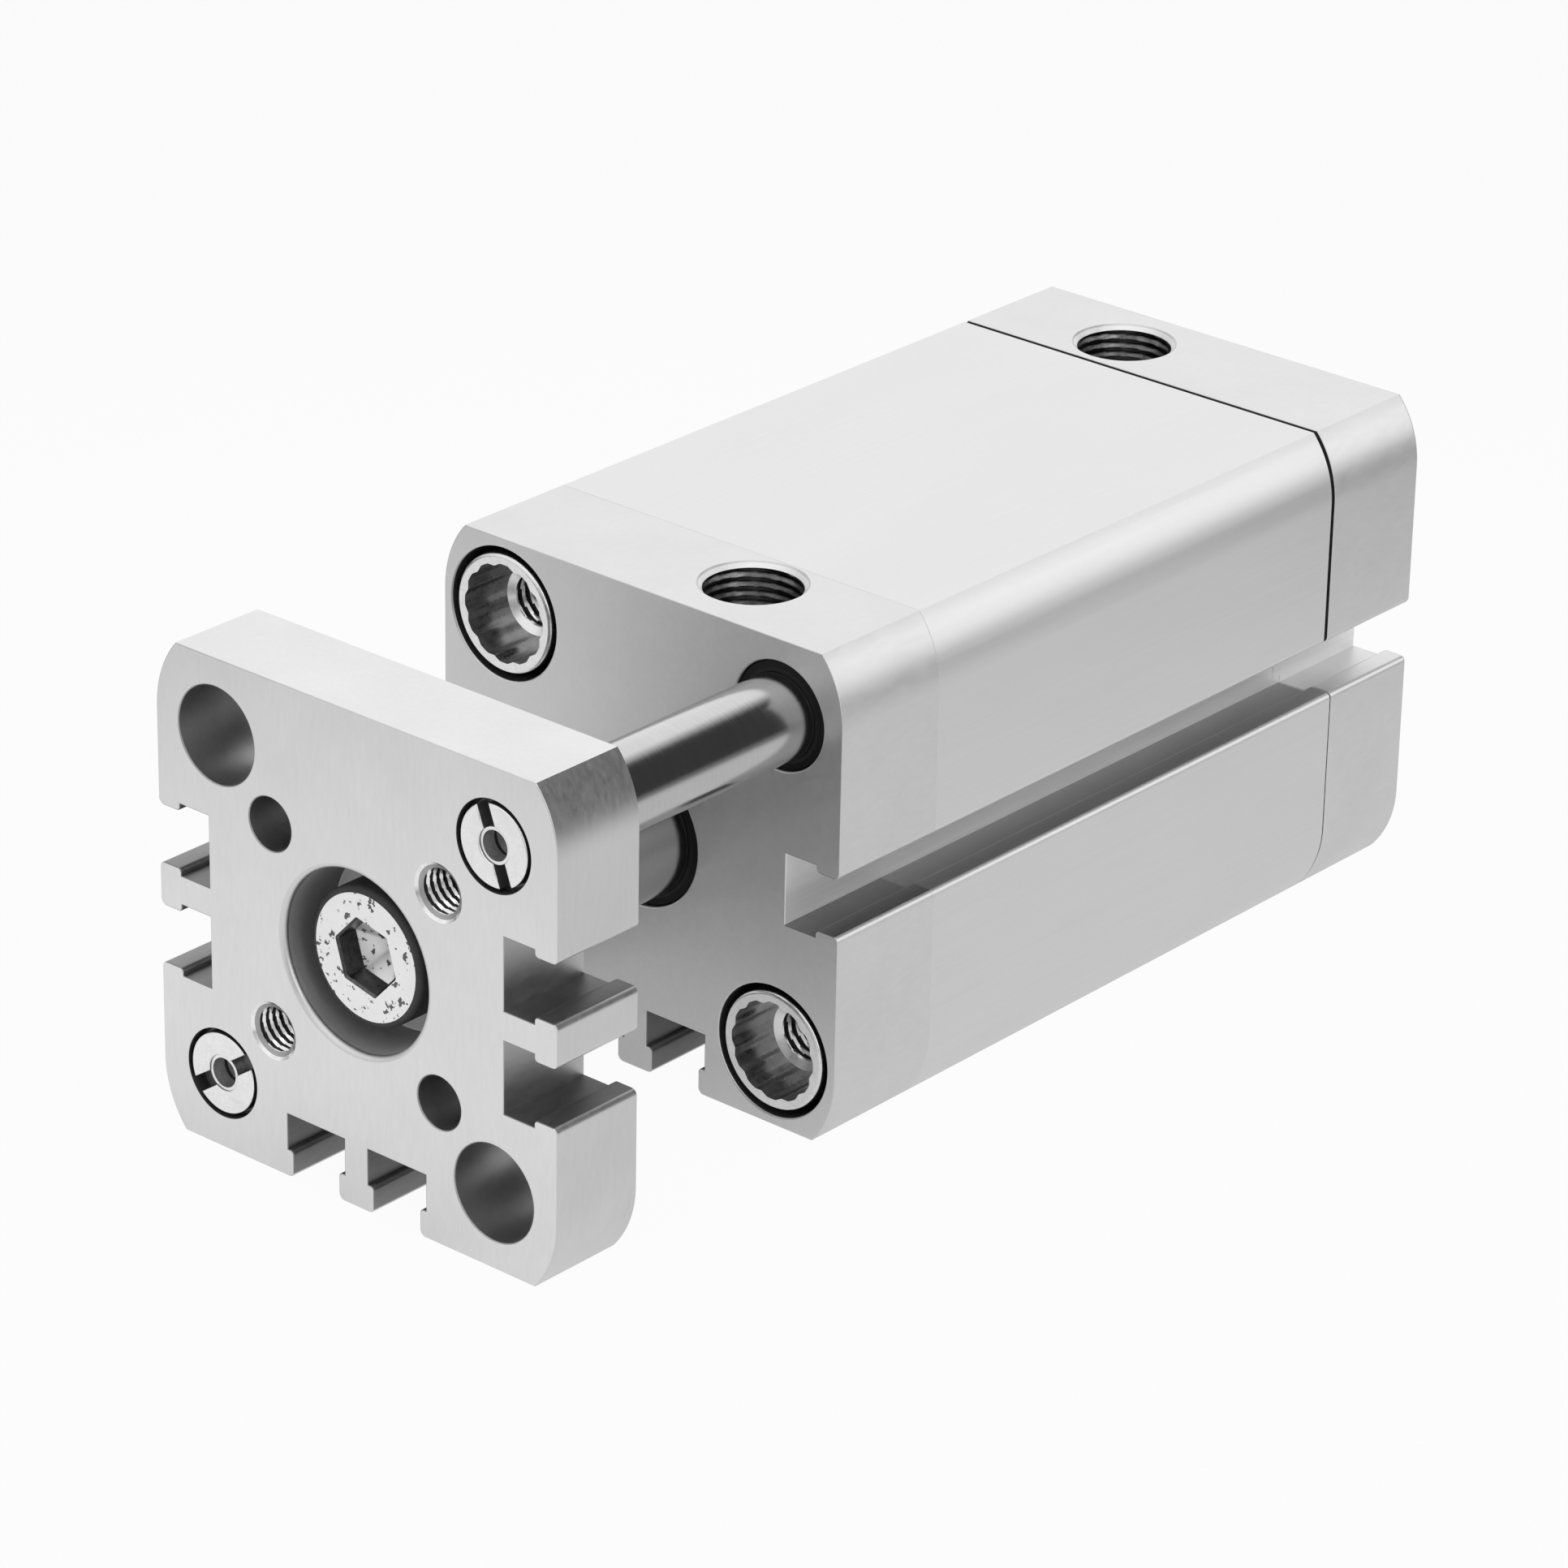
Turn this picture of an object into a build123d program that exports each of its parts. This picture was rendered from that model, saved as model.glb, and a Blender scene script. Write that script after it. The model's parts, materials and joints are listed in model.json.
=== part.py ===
from build123d import *
import math
import os

os.makedirs("parts", exist_ok=True)

# Frame: the origin is the middle of the rear mounting face, on the cylinder axis.
# +Z is up to the air ports, +Y runs to the rear, the rods come out along -Y.

# Stroke and pose
stroke = 40.0
pose_extension = stroke / 2
retracted_gap = 6.0

# Section shared by the body and the yoke plate
section_width = 47.0
crease_inset = 2.5
crease_half_width = section_width / 2 - crease_inset
corner_radius = 10.0
edge_bevel = 0.25

# Lengths of the body along Y
body_base_length = 44.0
body_length = body_base_length + stroke
bearing_cap_length = 13.0
end_cap_length = 13.7
end_cap_low_length = 12.2
cap_step_drop = 2.75
spigot_length = 3.0
seam_groove_width = 0.4
seam_groove_depth = 0.45

# Sensor slots
slot_throat = 5.5
slot_width = 6.9
slot_lip = 2.6
slot_depth = 6.1
slot_mouth_round = 0.6
slot_lip_round = 0.5
yoke_lip_round = 0.4
slot_spacing = 9.7

# Corner pattern and bores
corner_inset = 7.25
corner_offset = section_width / 2 - corner_inset
bore_wall = 7.5
bore_diameter = section_width - 2 * bore_wall
channel_diameter = 10.0
channel_gap = 1.5

# Ports
port_diameter = 9.73
port_mouth_diameter = 10.2
port_mouth_depth = 0.35
port_depth = 8.5
port_corner_gap = 9.85
port_side_offset = corner_offset - port_corner_gap
front_port_inset = 7.8
rear_port_inset = 7.3
passage_diameter = 3.4
passage_drop_diameter = 4.5
passage_wall = 0.3

# Clearances
spigot_clearance = 0.04
running_clearance = 0.03
thread_clearance = 0.025
seat_clearance = 0.02
piston_clearance = 0.3
band_clearance = 0.05

# Collar screws of the caps
collar_head_height = 5.0
collar_shank_diameter = 9.0
shank_clearance = 0.1
front_collar_length = 24.0
front_collar_head = 11.4
front_collar_seat = 12.7
rear_collar_length = 19.0
rear_collar_head = 10.0
rear_collar_seat = 10.4
collar_thread_diameter = 6.0
collar_thread_depth = 15.0
collar_socket_across = 8.1
collar_socket_depth = 4.0

# Piston rod and its bearing
rod_diameter = 12.0
rod_wiper_wall = 1.1
rod_wiper_diameter = rod_diameter + 2 * rod_wiper_wall
rod_wiper_length = 2.9
rod_bush_wall = 1.0
rod_bush_diameter = rod_diameter + 2 * rod_bush_wall
rod_bush_start = 3.3
rod_bush_length = 7.0
rod_seal_wall = 2.0
rod_seal_diameter = rod_diameter + 2 * rod_seal_wall
rod_seal_start = 11.0
rod_seal_length = 3.2
rod_bevel = 0.4
wiper_recess = 0.25

# Guide rods and their bearings
guide_diameter = 8.0
guide_length = 78.0
guide_wiper_wall = 1.1
guide_wiper_diameter = guide_diameter + 2 * guide_wiper_wall
guide_wiper_length = 2.6
guide_bush_start = 3.0
guide_bush_wall = 0.6
guide_bush_diameter = guide_diameter + 2 * guide_bush_wall
guide_shoulder = 0.8
guide_neck_diameter = guide_diameter - 2 * guide_shoulder
guide_neck_length = 7.0
guide_ring_length = 6.0
guide_ring_gap = 0.05
guide_ring_diameter = channel_diameter - 2 * guide_ring_gap
guide_slot_width = 1.4
guide_slot_depth = 1.3
guide_centre_diameter = 3.4
guide_centre_depth = 2.2
guide_end_bevel = 0.25
guide_face_step = 0.2
guide_face_diameter = guide_diameter - 2 * guide_face_step
clip_thickness = 0.7
clip_reach = 1.0
clip_diameter = guide_neck_diameter + 2 * clip_reach
clip_groove = 0.5
clip_groove_diameter = guide_neck_diameter - 2 * clip_groove

# Yoke plate
yoke_thickness = 10.0
yoke_ring_width = 0.2
yoke_ring_diameter = guide_diameter + 2 * yoke_ring_width
yoke_ring_depth = 1.2
yoke_recess_diameter = 17.0
yoke_recess_bevel = 0.5
yoke_web = 3.6
screw_diameter = 8.0
yoke_screw_hole = screw_diameter + 0.4
yoke_clear_hole = 9.1
yoke_inner_drop = 19.0
yoke_inner_circle = section_width - yoke_inner_drop
dowel_hole_diameter = 5.0
tapped_hole_diameter = 5.0
tapped_hole_mouth = 5.5
yoke_rod_recess = 1.0

# Yoke screw
screw_head_diameter = 13.0
screw_head_height = 5.0
screw_head_round = 0.6
screw_length = 22.0
screw_socket_across = 6.0
screw_socket_depth = 3.2

# Piston
piston_thickness = 10.5
piston_rear_gap = 0.5
piston_land = 0.9
piston_seal_width = 2.2
piston_seal_height = 3.4
piston_seal_inner = bore_diameter / 2 - piston_seal_height
piston_band_width = 3.2
piston_band_thickness = 0.9
magnet_inset = 2.4
magnet_height = 4.6
magnet_outer = bore_diameter / 2 - magnet_inset
magnet_inner = magnet_outer - magnet_height
magnet_length = 2.4
spigot_diameter = 8.0
piston_screw_head = 9.4
piston_screw_head_height = 2.8
piston_screw_diameter = 5.0
piston_screw_length = 12.0
piston_screw_socket = 4.0

# Cushion rings and cap seals
cushion_inset = 2.3
cushion_height = 1.7
cushion_outer = bore_diameter / 2 - cushion_inset
cushion_inner = cushion_outer - cushion_height
cushion_depth = 1.4
cushion_stand = 0.2
cap_seal_section = 1.6
cap_seal_start = 0.5

half_width = section_width / 2
slot_floor = half_width - slot_depth
passage_reach = rod_seal_diameter / 2 + passage_wall + passage_diameter / 2
passage_height = math.sqrt(passage_reach ** 2 - port_side_offset ** 2)
lip_floor = half_width - slot_lip
front_face = -body_length
barrel_front = front_face + bearing_cap_length
chamber_front = barrel_front + spigot_length
barrel_rear = -end_cap_length
barrel_low_rear = -end_cap_low_length
chamber_rear = barrel_rear - spigot_length
yoke_rear = front_face - retracted_gap - pose_extension
yoke_front = yoke_rear - yoke_thickness
guide_rear = yoke_front + guide_length
channel_end = -rear_collar_length - channel_gap
piston_rear_face = chamber_rear - piston_rear_gap - pose_extension
piston_front_face = piston_rear_face - piston_thickness
piston_middle = (piston_front_face + piston_rear_face) / 2
inner_offset = yoke_inner_circle / 2 / math.sqrt(2)


def turned(points, x=0.0, z=0.0):
    """Solid of revolution about a line along Y, from (radius, y) points."""
    profile = make_face(Polyline(*points, close=True))
    return Pos(x, 0, z) * revolve(profile, Axis.Y)


def round_bar(radius, start, end, x=0.0, z=0.0):
    """Plain cylinder along Y."""
    return turned([(0, start), (radius, start), (radius, end), (0, end)], x, z)


def ring(inner, outer, start, end, x=0.0, z=0.0):
    """Plain ring along Y."""
    return turned([(inner, start), (outer, start), (outer, end), (inner, end)], x, z)


def prism(sketch, start, end):
    """Section in X and Z carried from start to end along Y."""
    face_plane = Plane(origin=(0, end, 0), x_dir=(1, 0, 0), z_dir=(0, -1, 0))
    return extrude(face_plane * sketch, amount=end - start)


def section_outline():
    """Square with flat top and bottom, a crease and a wide arc at every corner."""
    arc_x = half_width - corner_radius
    arc_rise = math.sqrt(corner_radius ** 2 - (crease_half_width - arc_x) ** 2)
    arc_z = half_width - arc_rise
    middle_angle = math.asin(arc_rise / corner_radius) / 2
    middle_x = arc_x + corner_radius * math.cos(middle_angle)
    middle_z = arc_z + corner_radius * math.sin(middle_angle)
    crease = crease_half_width
    edges = [
        Line((-crease, half_width), (crease, half_width)),
        ThreePointArc((crease, half_width), (middle_x, middle_z), (half_width, arc_z)),
        Line((half_width, arc_z), (half_width, -arc_z)),
        ThreePointArc((half_width, -arc_z), (middle_x, -middle_z), (crease, -half_width)),
        Line((crease, -half_width), (-crease, -half_width)),
        ThreePointArc((-crease, -half_width), (-middle_x, -middle_z), (-half_width, -arc_z)),
        Line((-half_width, -arc_z), (-half_width, arc_z)),
        ThreePointArc((-half_width, arc_z), (-middle_x, middle_z), (-crease, half_width)),
    ]
    return make_face(edges)


def slot_shape(lip_round):
    """Sensor slot open towards +X, with rounded mouth and lip edges."""
    bend = math.sqrt(0.5)
    throat = slot_throat / 2
    room = slot_width / 2
    mouth_centre = (half_width - slot_mouth_round, throat + slot_mouth_round)
    lip_centre = (lip_floor + lip_round, throat + lip_round)
    outline = []
    for side in (1, -1):
        def point(x, y):
            return (x, side * y)
        outline += [
            Line(point(half_width + 1, 0), point(half_width + 1, mouth_centre[1])),
            Line(point(half_width + 1, mouth_centre[1]), point(half_width, mouth_centre[1])),
            ThreePointArc(
                point(half_width, mouth_centre[1]),
                point(mouth_centre[0] + slot_mouth_round * bend,
                      mouth_centre[1] - slot_mouth_round * bend),
                point(mouth_centre[0], throat),
            ),
            Line(point(mouth_centre[0], throat), point(lip_centre[0], throat)),
            ThreePointArc(
                point(lip_centre[0], throat),
                point(lip_centre[0] - lip_round * bend, lip_centre[1] - lip_round * bend),
                point(lip_floor, lip_centre[1]),
            ),
            Line(point(lip_floor, lip_centre[1]), point(lip_floor, room)),
            Line(point(lip_floor, room), point(slot_floor, room)),
            Line(point(slot_floor, room), point(slot_floor, 0)),
        ]
    return make_face(outline)


def slotted_section(side_places, bottom_places, lip_round):
    """Section outline with sensor slots at the given places along each face."""
    section = section_outline()
    for place in side_places:
        section = section - Pos(0, place) * slot_shape(lip_round)
        section = section - Pos(0, place) * Rot(0, 0, 180) * slot_shape(lip_round)
    for place in bottom_places:
        section = section - Pos(place, 0) * Rot(0, 0, -90) * slot_shape(lip_round)
    return section


def lobed_socket(across, start, depth, x, z):
    """Twelve-point socket cut from two turned hexagons."""
    hexagon = RegularPolygon(across / 2, 6, major_radius=False)
    star = hexagon + Rot(0, 0, 30) * hexagon
    return prism(Pos(x, z) * star, start, start + depth)


body_section = slotted_section([0.0], [-slot_spacing / 2, slot_spacing / 2], slot_lip_round)
yoke_section = slotted_section(
    [-slot_spacing / 2, slot_spacing / 2],
    [-slot_spacing / 2, slot_spacing / 2],
    yoke_lip_round,
)
screw_corners = [(-corner_offset, corner_offset), (corner_offset, -corner_offset)]
guide_corners = [(corner_offset, corner_offset), (-corner_offset, -corner_offset)]
all_corners = screw_corners + guide_corners


def face_bevel(solid, towards_rear, size):
    """Small bevel round the outer outline of one end face."""
    faces = solid.faces().filter_by(Axis.Y).sort_by(Axis.Y)
    face = faces[-1] if towards_rear else faces[0]
    return chamfer(face.outer_wire().edges(), size)


def port_cut(x, y, chamber_face):
    """Threaded port from the top, its drop and the passage to the chamber."""
    floor = half_width - port_depth
    bore = Pos(x, y, (half_width + 1 + floor) / 2) * Cylinder(port_diameter / 2, port_depth + 1)
    mouth = Pos(x, y, half_width - port_mouth_depth / 2) * Cone(
        port_diameter / 2, port_mouth_diameter / 2, port_mouth_depth)
    drop_length = floor - passage_height
    drop = Pos(x, y, floor - drop_length / 2) * Cylinder(passage_drop_diameter / 2, drop_length + 1)
    low, high = sorted((y, chamber_face))
    passage = round_bar(passage_diameter / 2, low, high, x, passage_height)
    return bore + mouth + drop + passage


def spigot(start, end, groove_start):
    """Round spigot into the bore with a groove for the cap seal."""
    radius = bore_diameter / 2 - spigot_clearance
    body = round_bar(radius, start, end)
    groove_end = groove_start + cap_seal_section + 0.3
    groove_floor = bore_diameter / 2 - cap_seal_section
    return body - ring(groove_floor, radius + 1, groove_start, groove_end)


def cap_seal(groove_start):
    """Seal ring with bevelled corners lying in a spigot groove."""
    middle = groove_start + (cap_seal_section + 0.3) / 2
    half = cap_seal_section / 2 - seat_clearance
    centre = bore_diameter / 2 - cap_seal_section / 2
    corner = half * math.tan(math.radians(22.5))
    return turned([
        (centre - half, middle - corner),
        (centre - corner, middle - half),
        (centre + corner, middle - half),
        (centre + half, middle - corner),
        (centre + half, middle + corner),
        (centre + corner, middle + half),
        (centre - corner, middle + half),
        (centre - half, middle + corner),
    ])


def cushion_ring(face, direction):
    """Flat buffer ring set into a cap face and standing slightly proud of it."""
    near = face + direction * cushion_stand
    far = face - direction * cushion_depth
    low, high = sorted((near, far))
    inner = cushion_inner + seat_clearance
    outer = cushion_outer - seat_clearance
    return ring(inner, outer, low, high)


def build_bearing_cap():
    cap = prism(body_section, front_face, barrel_front)
    cap = face_bevel(cap, False, edge_bevel)
    groove_start = barrel_front + cap_seal_start
    cap += spigot(barrel_front - 1, chamber_front, groove_start)
    cap -= round_bar(rod_wiper_diameter / 2, front_face - 1, front_face + rod_wiper_length)
    cap -= round_bar(rod_diameter / 2 + 0.3, front_face, chamber_front + 1)
    bush_start = front_face + rod_bush_start
    cap -= round_bar(rod_bush_diameter / 2, bush_start, bush_start + rod_bush_length)
    seal_start = front_face + rod_seal_start
    cap -= round_bar(rod_seal_diameter / 2, seal_start, chamber_front + 1)
    cap -= ring(cushion_inner, cushion_outer, chamber_front - cushion_depth, chamber_front + 1)
    for x, z in guide_corners:
        cap -= round_bar(guide_wiper_diameter / 2, front_face - 1,
                         front_face + guide_wiper_length, x, z)
        cap -= round_bar(guide_diameter / 2 + 0.3, front_face, barrel_front + 1, x, z)
        cap -= round_bar(guide_bush_diameter / 2, front_face + guide_bush_start,
                         barrel_front + 1, x, z)
    for x, z in screw_corners:
        cap -= round_bar(front_collar_seat / 2, front_face - 1,
                         front_face + collar_head_height, x, z)
        cap -= round_bar(collar_shank_diameter / 2 + shank_clearance, front_face,
                         barrel_front + 1, x, z)
    cap -= port_cut(port_side_offset, front_face + front_port_inset, chamber_front + 1)
    return cap


def build_barrel():
    barrel = prism(body_section, barrel_front, barrel_low_rear)
    step_height = half_width + cap_step_drop
    step = Pos(0, (barrel_rear + barrel_low_rear) / 2, half_width - step_height / 2)
    barrel -= step * Box(section_width + 2, end_cap_length - end_cap_low_length, step_height)
    barrel -= round_bar(bore_diameter / 2, barrel_front - 1, 1)
    thread_radius = collar_shank_diameter / 2 + thread_clearance
    for x, z in all_corners:
        barrel -= round_bar(thread_radius, barrel_front - 1, 1, x, z)
    for x, z in guide_corners:
        barrel -= round_bar(channel_diameter / 2, barrel_front - 1, channel_end, x, z)
    return barrel


def build_end_cap():
    cap = prism(body_section, barrel_rear, 0)
    cap = face_bevel(cap, True, edge_bevel)
    low_height = half_width - cap_step_drop
    step = Pos(0, (barrel_rear + barrel_low_rear) / 2, -half_width + low_height / 2)
    cap -= step * Box(section_width + 2, end_cap_length - end_cap_low_length, low_height)
    groove = section_outline()
    inset = offset(groove, -seam_groove_depth)
    groove_band = prism(groove, barrel_rear, barrel_rear + seam_groove_width)
    groove_band -= prism(inset, barrel_rear, barrel_rear + seam_groove_width)
    band_height = half_width + cap_step_drop
    band_place = Pos(0, barrel_rear, half_width - band_height / 2)
    groove_band &= band_place * Box(section_width + 2, 2, band_height)
    cap -= groove_band
    groove_start = barrel_rear - cap_seal_start - cap_seal_section - 0.3
    cap += spigot(chamber_rear, barrel_low_rear + 1, groove_start)
    cap -= ring(cushion_inner, cushion_outer, chamber_rear - 1, chamber_rear + cushion_depth)
    for x, z in all_corners:
        cap -= round_bar(rear_collar_seat / 2, -collar_head_height, 1, x, z)
        cap -= round_bar(collar_shank_diameter / 2 + shank_clearance, barrel_rear - 1, 1, x, z)
    cap -= port_cut(-port_side_offset, -rear_port_inset, chamber_rear - 1)
    return cap


def collar_screw(face, direction, head_diameter, length, x, z):
    """Cap screw with a flush head, a twelve-point socket and an inner thread."""
    def along(distance):
        return face + direction * distance
    head = head_diameter / 2
    shank = collar_shank_diameter / 2
    bevel = 0.4
    profile = [
        (0, along(0)),
        (head - bevel, along(0)),
        (head, along(bevel)),
        (head, along(collar_head_height - seat_clearance)),
        (shank, along(collar_head_height - seat_clearance)),
        (shank, along(length - bevel)),
        (shank - bevel, along(length)),
        (0, along(length)),
    ]
    screw = turned(profile, x, z)
    low, high = sorted((along(-1), along(collar_thread_depth)))
    screw -= round_bar(collar_thread_diameter / 2, low, high, x, z)
    low = min(along(-1), along(collar_socket_depth))
    screw -= lobed_socket(collar_socket_across, low, collar_socket_depth + 1, x, z)
    return screw


def build_guide_rod(x, z, slot_turn):
    """Guide rod with a slotted stud in the yoke and a neck for the rear ring."""
    radius = guide_diameter / 2
    face = guide_face_diameter / 2
    neck = guide_neck_diameter / 2
    neck_start = guide_rear - guide_neck_length
    clip_start = neck_start + guide_ring_length + 2 * seat_clearance
    clip_end = clip_start + clip_thickness
    groove = clip_groove_diameter / 2
    profile = [
        (0, yoke_front),
        (face - guide_end_bevel, yoke_front),
        (face, yoke_front + guide_end_bevel),
        (face, yoke_front + yoke_ring_depth),
        (radius, yoke_front + yoke_ring_depth),
        (radius, neck_start),
        (neck, neck_start),
        (neck, clip_start),
        (groove, clip_start),
        (groove, clip_end),
        (neck, clip_end),
        (neck, guide_rear - 0.1),
        (neck - 0.1, guide_rear),
        (0, guide_rear),
    ]
    rod = turned(profile, x, z)
    slot = Rot(0, -slot_turn, 0) * Box(guide_diameter + 2, 2 * guide_slot_depth, guide_slot_width)
    rod -= Pos(x, yoke_front, z) * slot
    hole = guide_centre_diameter / 2
    cone_point = yoke_front + guide_centre_depth + hole
    rod -= turned([
        (0, yoke_front - 1),
        (hole, yoke_front - 1),
        (hole, yoke_front + guide_centre_depth),
        (0, cone_point),
    ], x, z)
    return rod


def build_guide_ring(x, z):
    start = guide_rear - guide_neck_length + seat_clearance
    inner = guide_neck_diameter / 2 + seat_clearance
    return ring(inner, guide_ring_diameter / 2, start, start + guide_ring_length, x, z)


def build_clip(x, z):
    """Open retaining ring behind the guide ring."""
    start = guide_rear - guide_neck_length + guide_ring_length + 3 * seat_clearance
    end = start + clip_thickness - 2 * seat_clearance
    clip = ring(clip_groove_diameter / 2 + seat_clearance, clip_diameter / 2, start, end, x, z)
    opening = Pos(x, (start + end) / 2, z - clip_diameter / 2) * Box(2.4, 2, clip_diameter)
    return clip - opening


def build_yoke():
    plate = prism(yoke_section, yoke_front, yoke_rear)
    plate = face_bevel(plate, False, edge_bevel)
    plate = face_bevel(plate, True, edge_bevel)
    recess = yoke_recess_diameter / 2
    recess_floor = yoke_rear - yoke_web
    plate -= turned([
        (0, yoke_front - 1),
        (recess + yoke_recess_bevel, yoke_front - 1),
        (recess + yoke_recess_bevel, yoke_front),
        (recess, yoke_front + yoke_recess_bevel),
        (recess, recess_floor),
        (0, recess_floor),
    ])
    plate -= round_bar(yoke_screw_hole / 2, yoke_front, yoke_rear + 1)
    plate -= round_bar(rod_diameter / 2 + seat_clearance, yoke_rear - yoke_rod_recess, yoke_rear + 1)
    for x, z in screw_corners:
        plate -= round_bar(yoke_clear_hole / 2, yoke_front - 1, yoke_rear + 1, x, z)
        near_x = math.copysign(inner_offset, x)
        near_z = math.copysign(inner_offset, z)
        plate -= round_bar(dowel_hole_diameter / 2, yoke_front - 1, yoke_rear + 1, near_x, near_z)
    for x, z in guide_corners:
        plate -= round_bar(guide_diameter / 2 + thread_clearance, yoke_front, yoke_rear + 1, x, z)
        plate -= round_bar(yoke_ring_diameter / 2, yoke_front - 1,
                           yoke_front + yoke_ring_depth, x, z)
        near_x = math.copysign(inner_offset, x)
        near_z = math.copysign(inner_offset, z)
        mouth = tapped_hole_mouth / 2
        tapped = tapped_hole_diameter / 2
        plate -= turned([
            (0, yoke_front - 1),
            (mouth, yoke_front - 1),
            (mouth, yoke_front),
            (tapped, yoke_front + mouth - tapped),
            (tapped, yoke_rear + 1),
            (0, yoke_rear + 1),
        ], near_x, near_z)
    return plate


def build_yoke_screw():
    """Low-head socket screw holding the plate to the piston rod."""
    seat = yoke_rear - yoke_web - seat_clearance
    top = seat - screw_head_height
    head = screw_head_diameter / 2
    shank = screw_diameter / 2 - thread_clearance
    end = seat + screw_length
    screw = turned([
        (0, top),
        (head - screw_head_round, top),
        (head - screw_head_round * 0.3, top + screw_head_round * 0.3),
        (head, top + screw_head_round),
        (head, seat),
        (shank, seat),
        (shank, end - 0.8),
        (shank - 0.8, end),
        (0, end),
    ])
    hexagon = RegularPolygon(screw_socket_across / 2, 6, major_radius=False)
    socket = prism(Rot(0, 0, 17) * hexagon, top - 1, top + screw_socket_depth)
    return screw - socket


def build_piston_rod():
    radius = rod_diameter / 2
    start = yoke_rear - yoke_rod_recess + seat_clearance
    spigot_radius = spigot_diameter / 2
    spigot_end = piston_rear_face - piston_screw_head_height - 0.4
    rod = turned([
        (0, start),
        (radius - rod_bevel, start),
        (radius, start + rod_bevel),
        (radius, piston_front_face - seat_clearance),
        (spigot_radius, piston_front_face - seat_clearance),
        (spigot_radius, spigot_end),
        (0, spigot_end),
    ])
    rod -= round_bar(screw_diameter / 2, start - 1, yoke_rear + screw_length)
    rod -= round_bar(piston_screw_diameter / 2, spigot_end - piston_screw_length, spigot_end + 1)
    return rod


def piston_half(front):
    """Half of the piston, split across the middle of the magnet ring."""
    outer = bore_diameter / 2 - piston_clearance
    groove = piston_seal_inner
    band_floor = bore_diameter / 2 - band_clearance - piston_band_thickness - seat_clearance
    band_half = piston_band_width / 2
    magnet_half = magnet_length / 2
    face = piston_front_face if front else piston_rear_face
    inward = 1 if front else -1
    middle = piston_middle - inward * seat_clearance / 2
    bore = spigot_diameter / 2 + seat_clearance
    land_end = face + inward * piston_land
    seal_end = land_end + inward * piston_seal_width
    profile = [
        (bore, face),
        (outer, face),
        (outer, land_end),
        (groove, land_end),
        (groove, seal_end),
        (outer, seal_end),
        (outer, piston_middle - inward * band_half),
        (band_floor, piston_middle - inward * band_half),
        (band_floor, middle),
        (magnet_outer, middle),
        (magnet_outer, piston_middle - inward * magnet_half),
        (magnet_inner, piston_middle - inward * magnet_half),
        (magnet_inner, middle),
        (bore, middle),
    ]
    half = turned(profile)
    if not front:
        head_room = piston_screw_head / 2 + 0.1
        half -= round_bar(head_room, piston_rear_face - piston_screw_head_height - 0.2,
                          piston_rear_face + 1)
    return half


def piston_seal(front):
    """Lip seal with a V groove towards its own chamber."""
    face = piston_front_face if front else piston_rear_face
    inward = 1 if front else -1
    near = face + inward * (piston_land + seat_clearance)
    far = face + inward * (piston_land + piston_seal_width - seat_clearance)
    inner = piston_seal_inner + seat_clearance
    outer = bore_diameter / 2 - band_clearance
    middle = (inner + outer) / 2
    return turned([
        (inner, near),
        (middle - 0.5, near),
        (middle, near + inward * 0.9),
        (middle + 0.5, near),
        (outer, near),
        (outer - 0.5, far),
        (inner, far),
    ])


def build_piston_screw():
    seat = piston_rear_face - piston_screw_head_height - 0.2 + seat_clearance
    top = piston_rear_face - 0.2
    head = piston_screw_head / 2
    shank = piston_screw_diameter / 2 - thread_clearance
    end = seat - piston_screw_length + 1.5
    screw = turned([
        (0, top),
        (head - 0.4, top),
        (head, top - 0.4),
        (head, seat),
        (shank, seat),
        (shank, end),
        (0, end),
    ])
    hexagon = RegularPolygon(piston_screw_socket / 2, 6, major_radius=False)
    return screw - prism(hexagon, top - 1.6, top + 1)


def wiper(rod_radius, outer, length, x, z):
    """Black wiper ring with a bevelled lip that meets the rod."""
    inner = rod_radius + running_clearance
    start = front_face + wiper_recess
    return turned([
        (inner, start - wiper_recess * 0.6),
        (inner + 0.35, start),
        (outer - seat_clearance, start),
        (outer - seat_clearance, start + length - wiper_recess - seat_clearance),
        (inner + 0.5, start + length - wiper_recess - seat_clearance),
        (inner, start + 0.9),
    ], x, z)


def build_rod_seal():
    inner = rod_diameter / 2 + running_clearance
    outer = rod_seal_diameter / 2 - seat_clearance
    start = front_face + rod_seal_start + seat_clearance
    end = start + rod_seal_length
    middle = (inner + outer) / 2
    return turned([
        (inner + 0.3, start),
        (outer, start),
        (outer, end),
        (middle + 0.35, end),
        (middle, end - 1.4),
        (middle - 0.35, end),
        (inner, end),
    ])


def build_seal_retainer():
    start = front_face + rod_seal_start + rod_seal_length + 2 * seat_clearance
    inner = rod_diameter / 2 + 0.3
    return ring(inner, rod_seal_diameter / 2 - seat_clearance, start, chamber_front)


def group(solids):
    return Compound(children=list(solids))


nodes = {}
nodes["bearing_cap"] = build_bearing_cap()
nodes["cylinder_barrel"] = build_barrel()
nodes["end_cap"] = build_end_cap()
nodes["front_cap_seal"] = cap_seal(barrel_front + cap_seal_start)
nodes["rear_cap_seal"] = cap_seal(barrel_rear - cap_seal_start - cap_seal_section - 0.3)
nodes["front_cushion_ring"] = cushion_ring(chamber_front, 1)
nodes["rear_cushion_ring"] = cushion_ring(chamber_rear, -1)
nodes["rod_wiper"] = wiper(rod_diameter / 2, rod_wiper_diameter / 2, rod_wiper_length, 0, 0)
nodes["rod_bush"] = ring(
    rod_diameter / 2 + running_clearance,
    rod_bush_diameter / 2 - seat_clearance,
    front_face + rod_bush_start + seat_clearance,
    front_face + rod_bush_start + rod_bush_length - seat_clearance,
)
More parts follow.
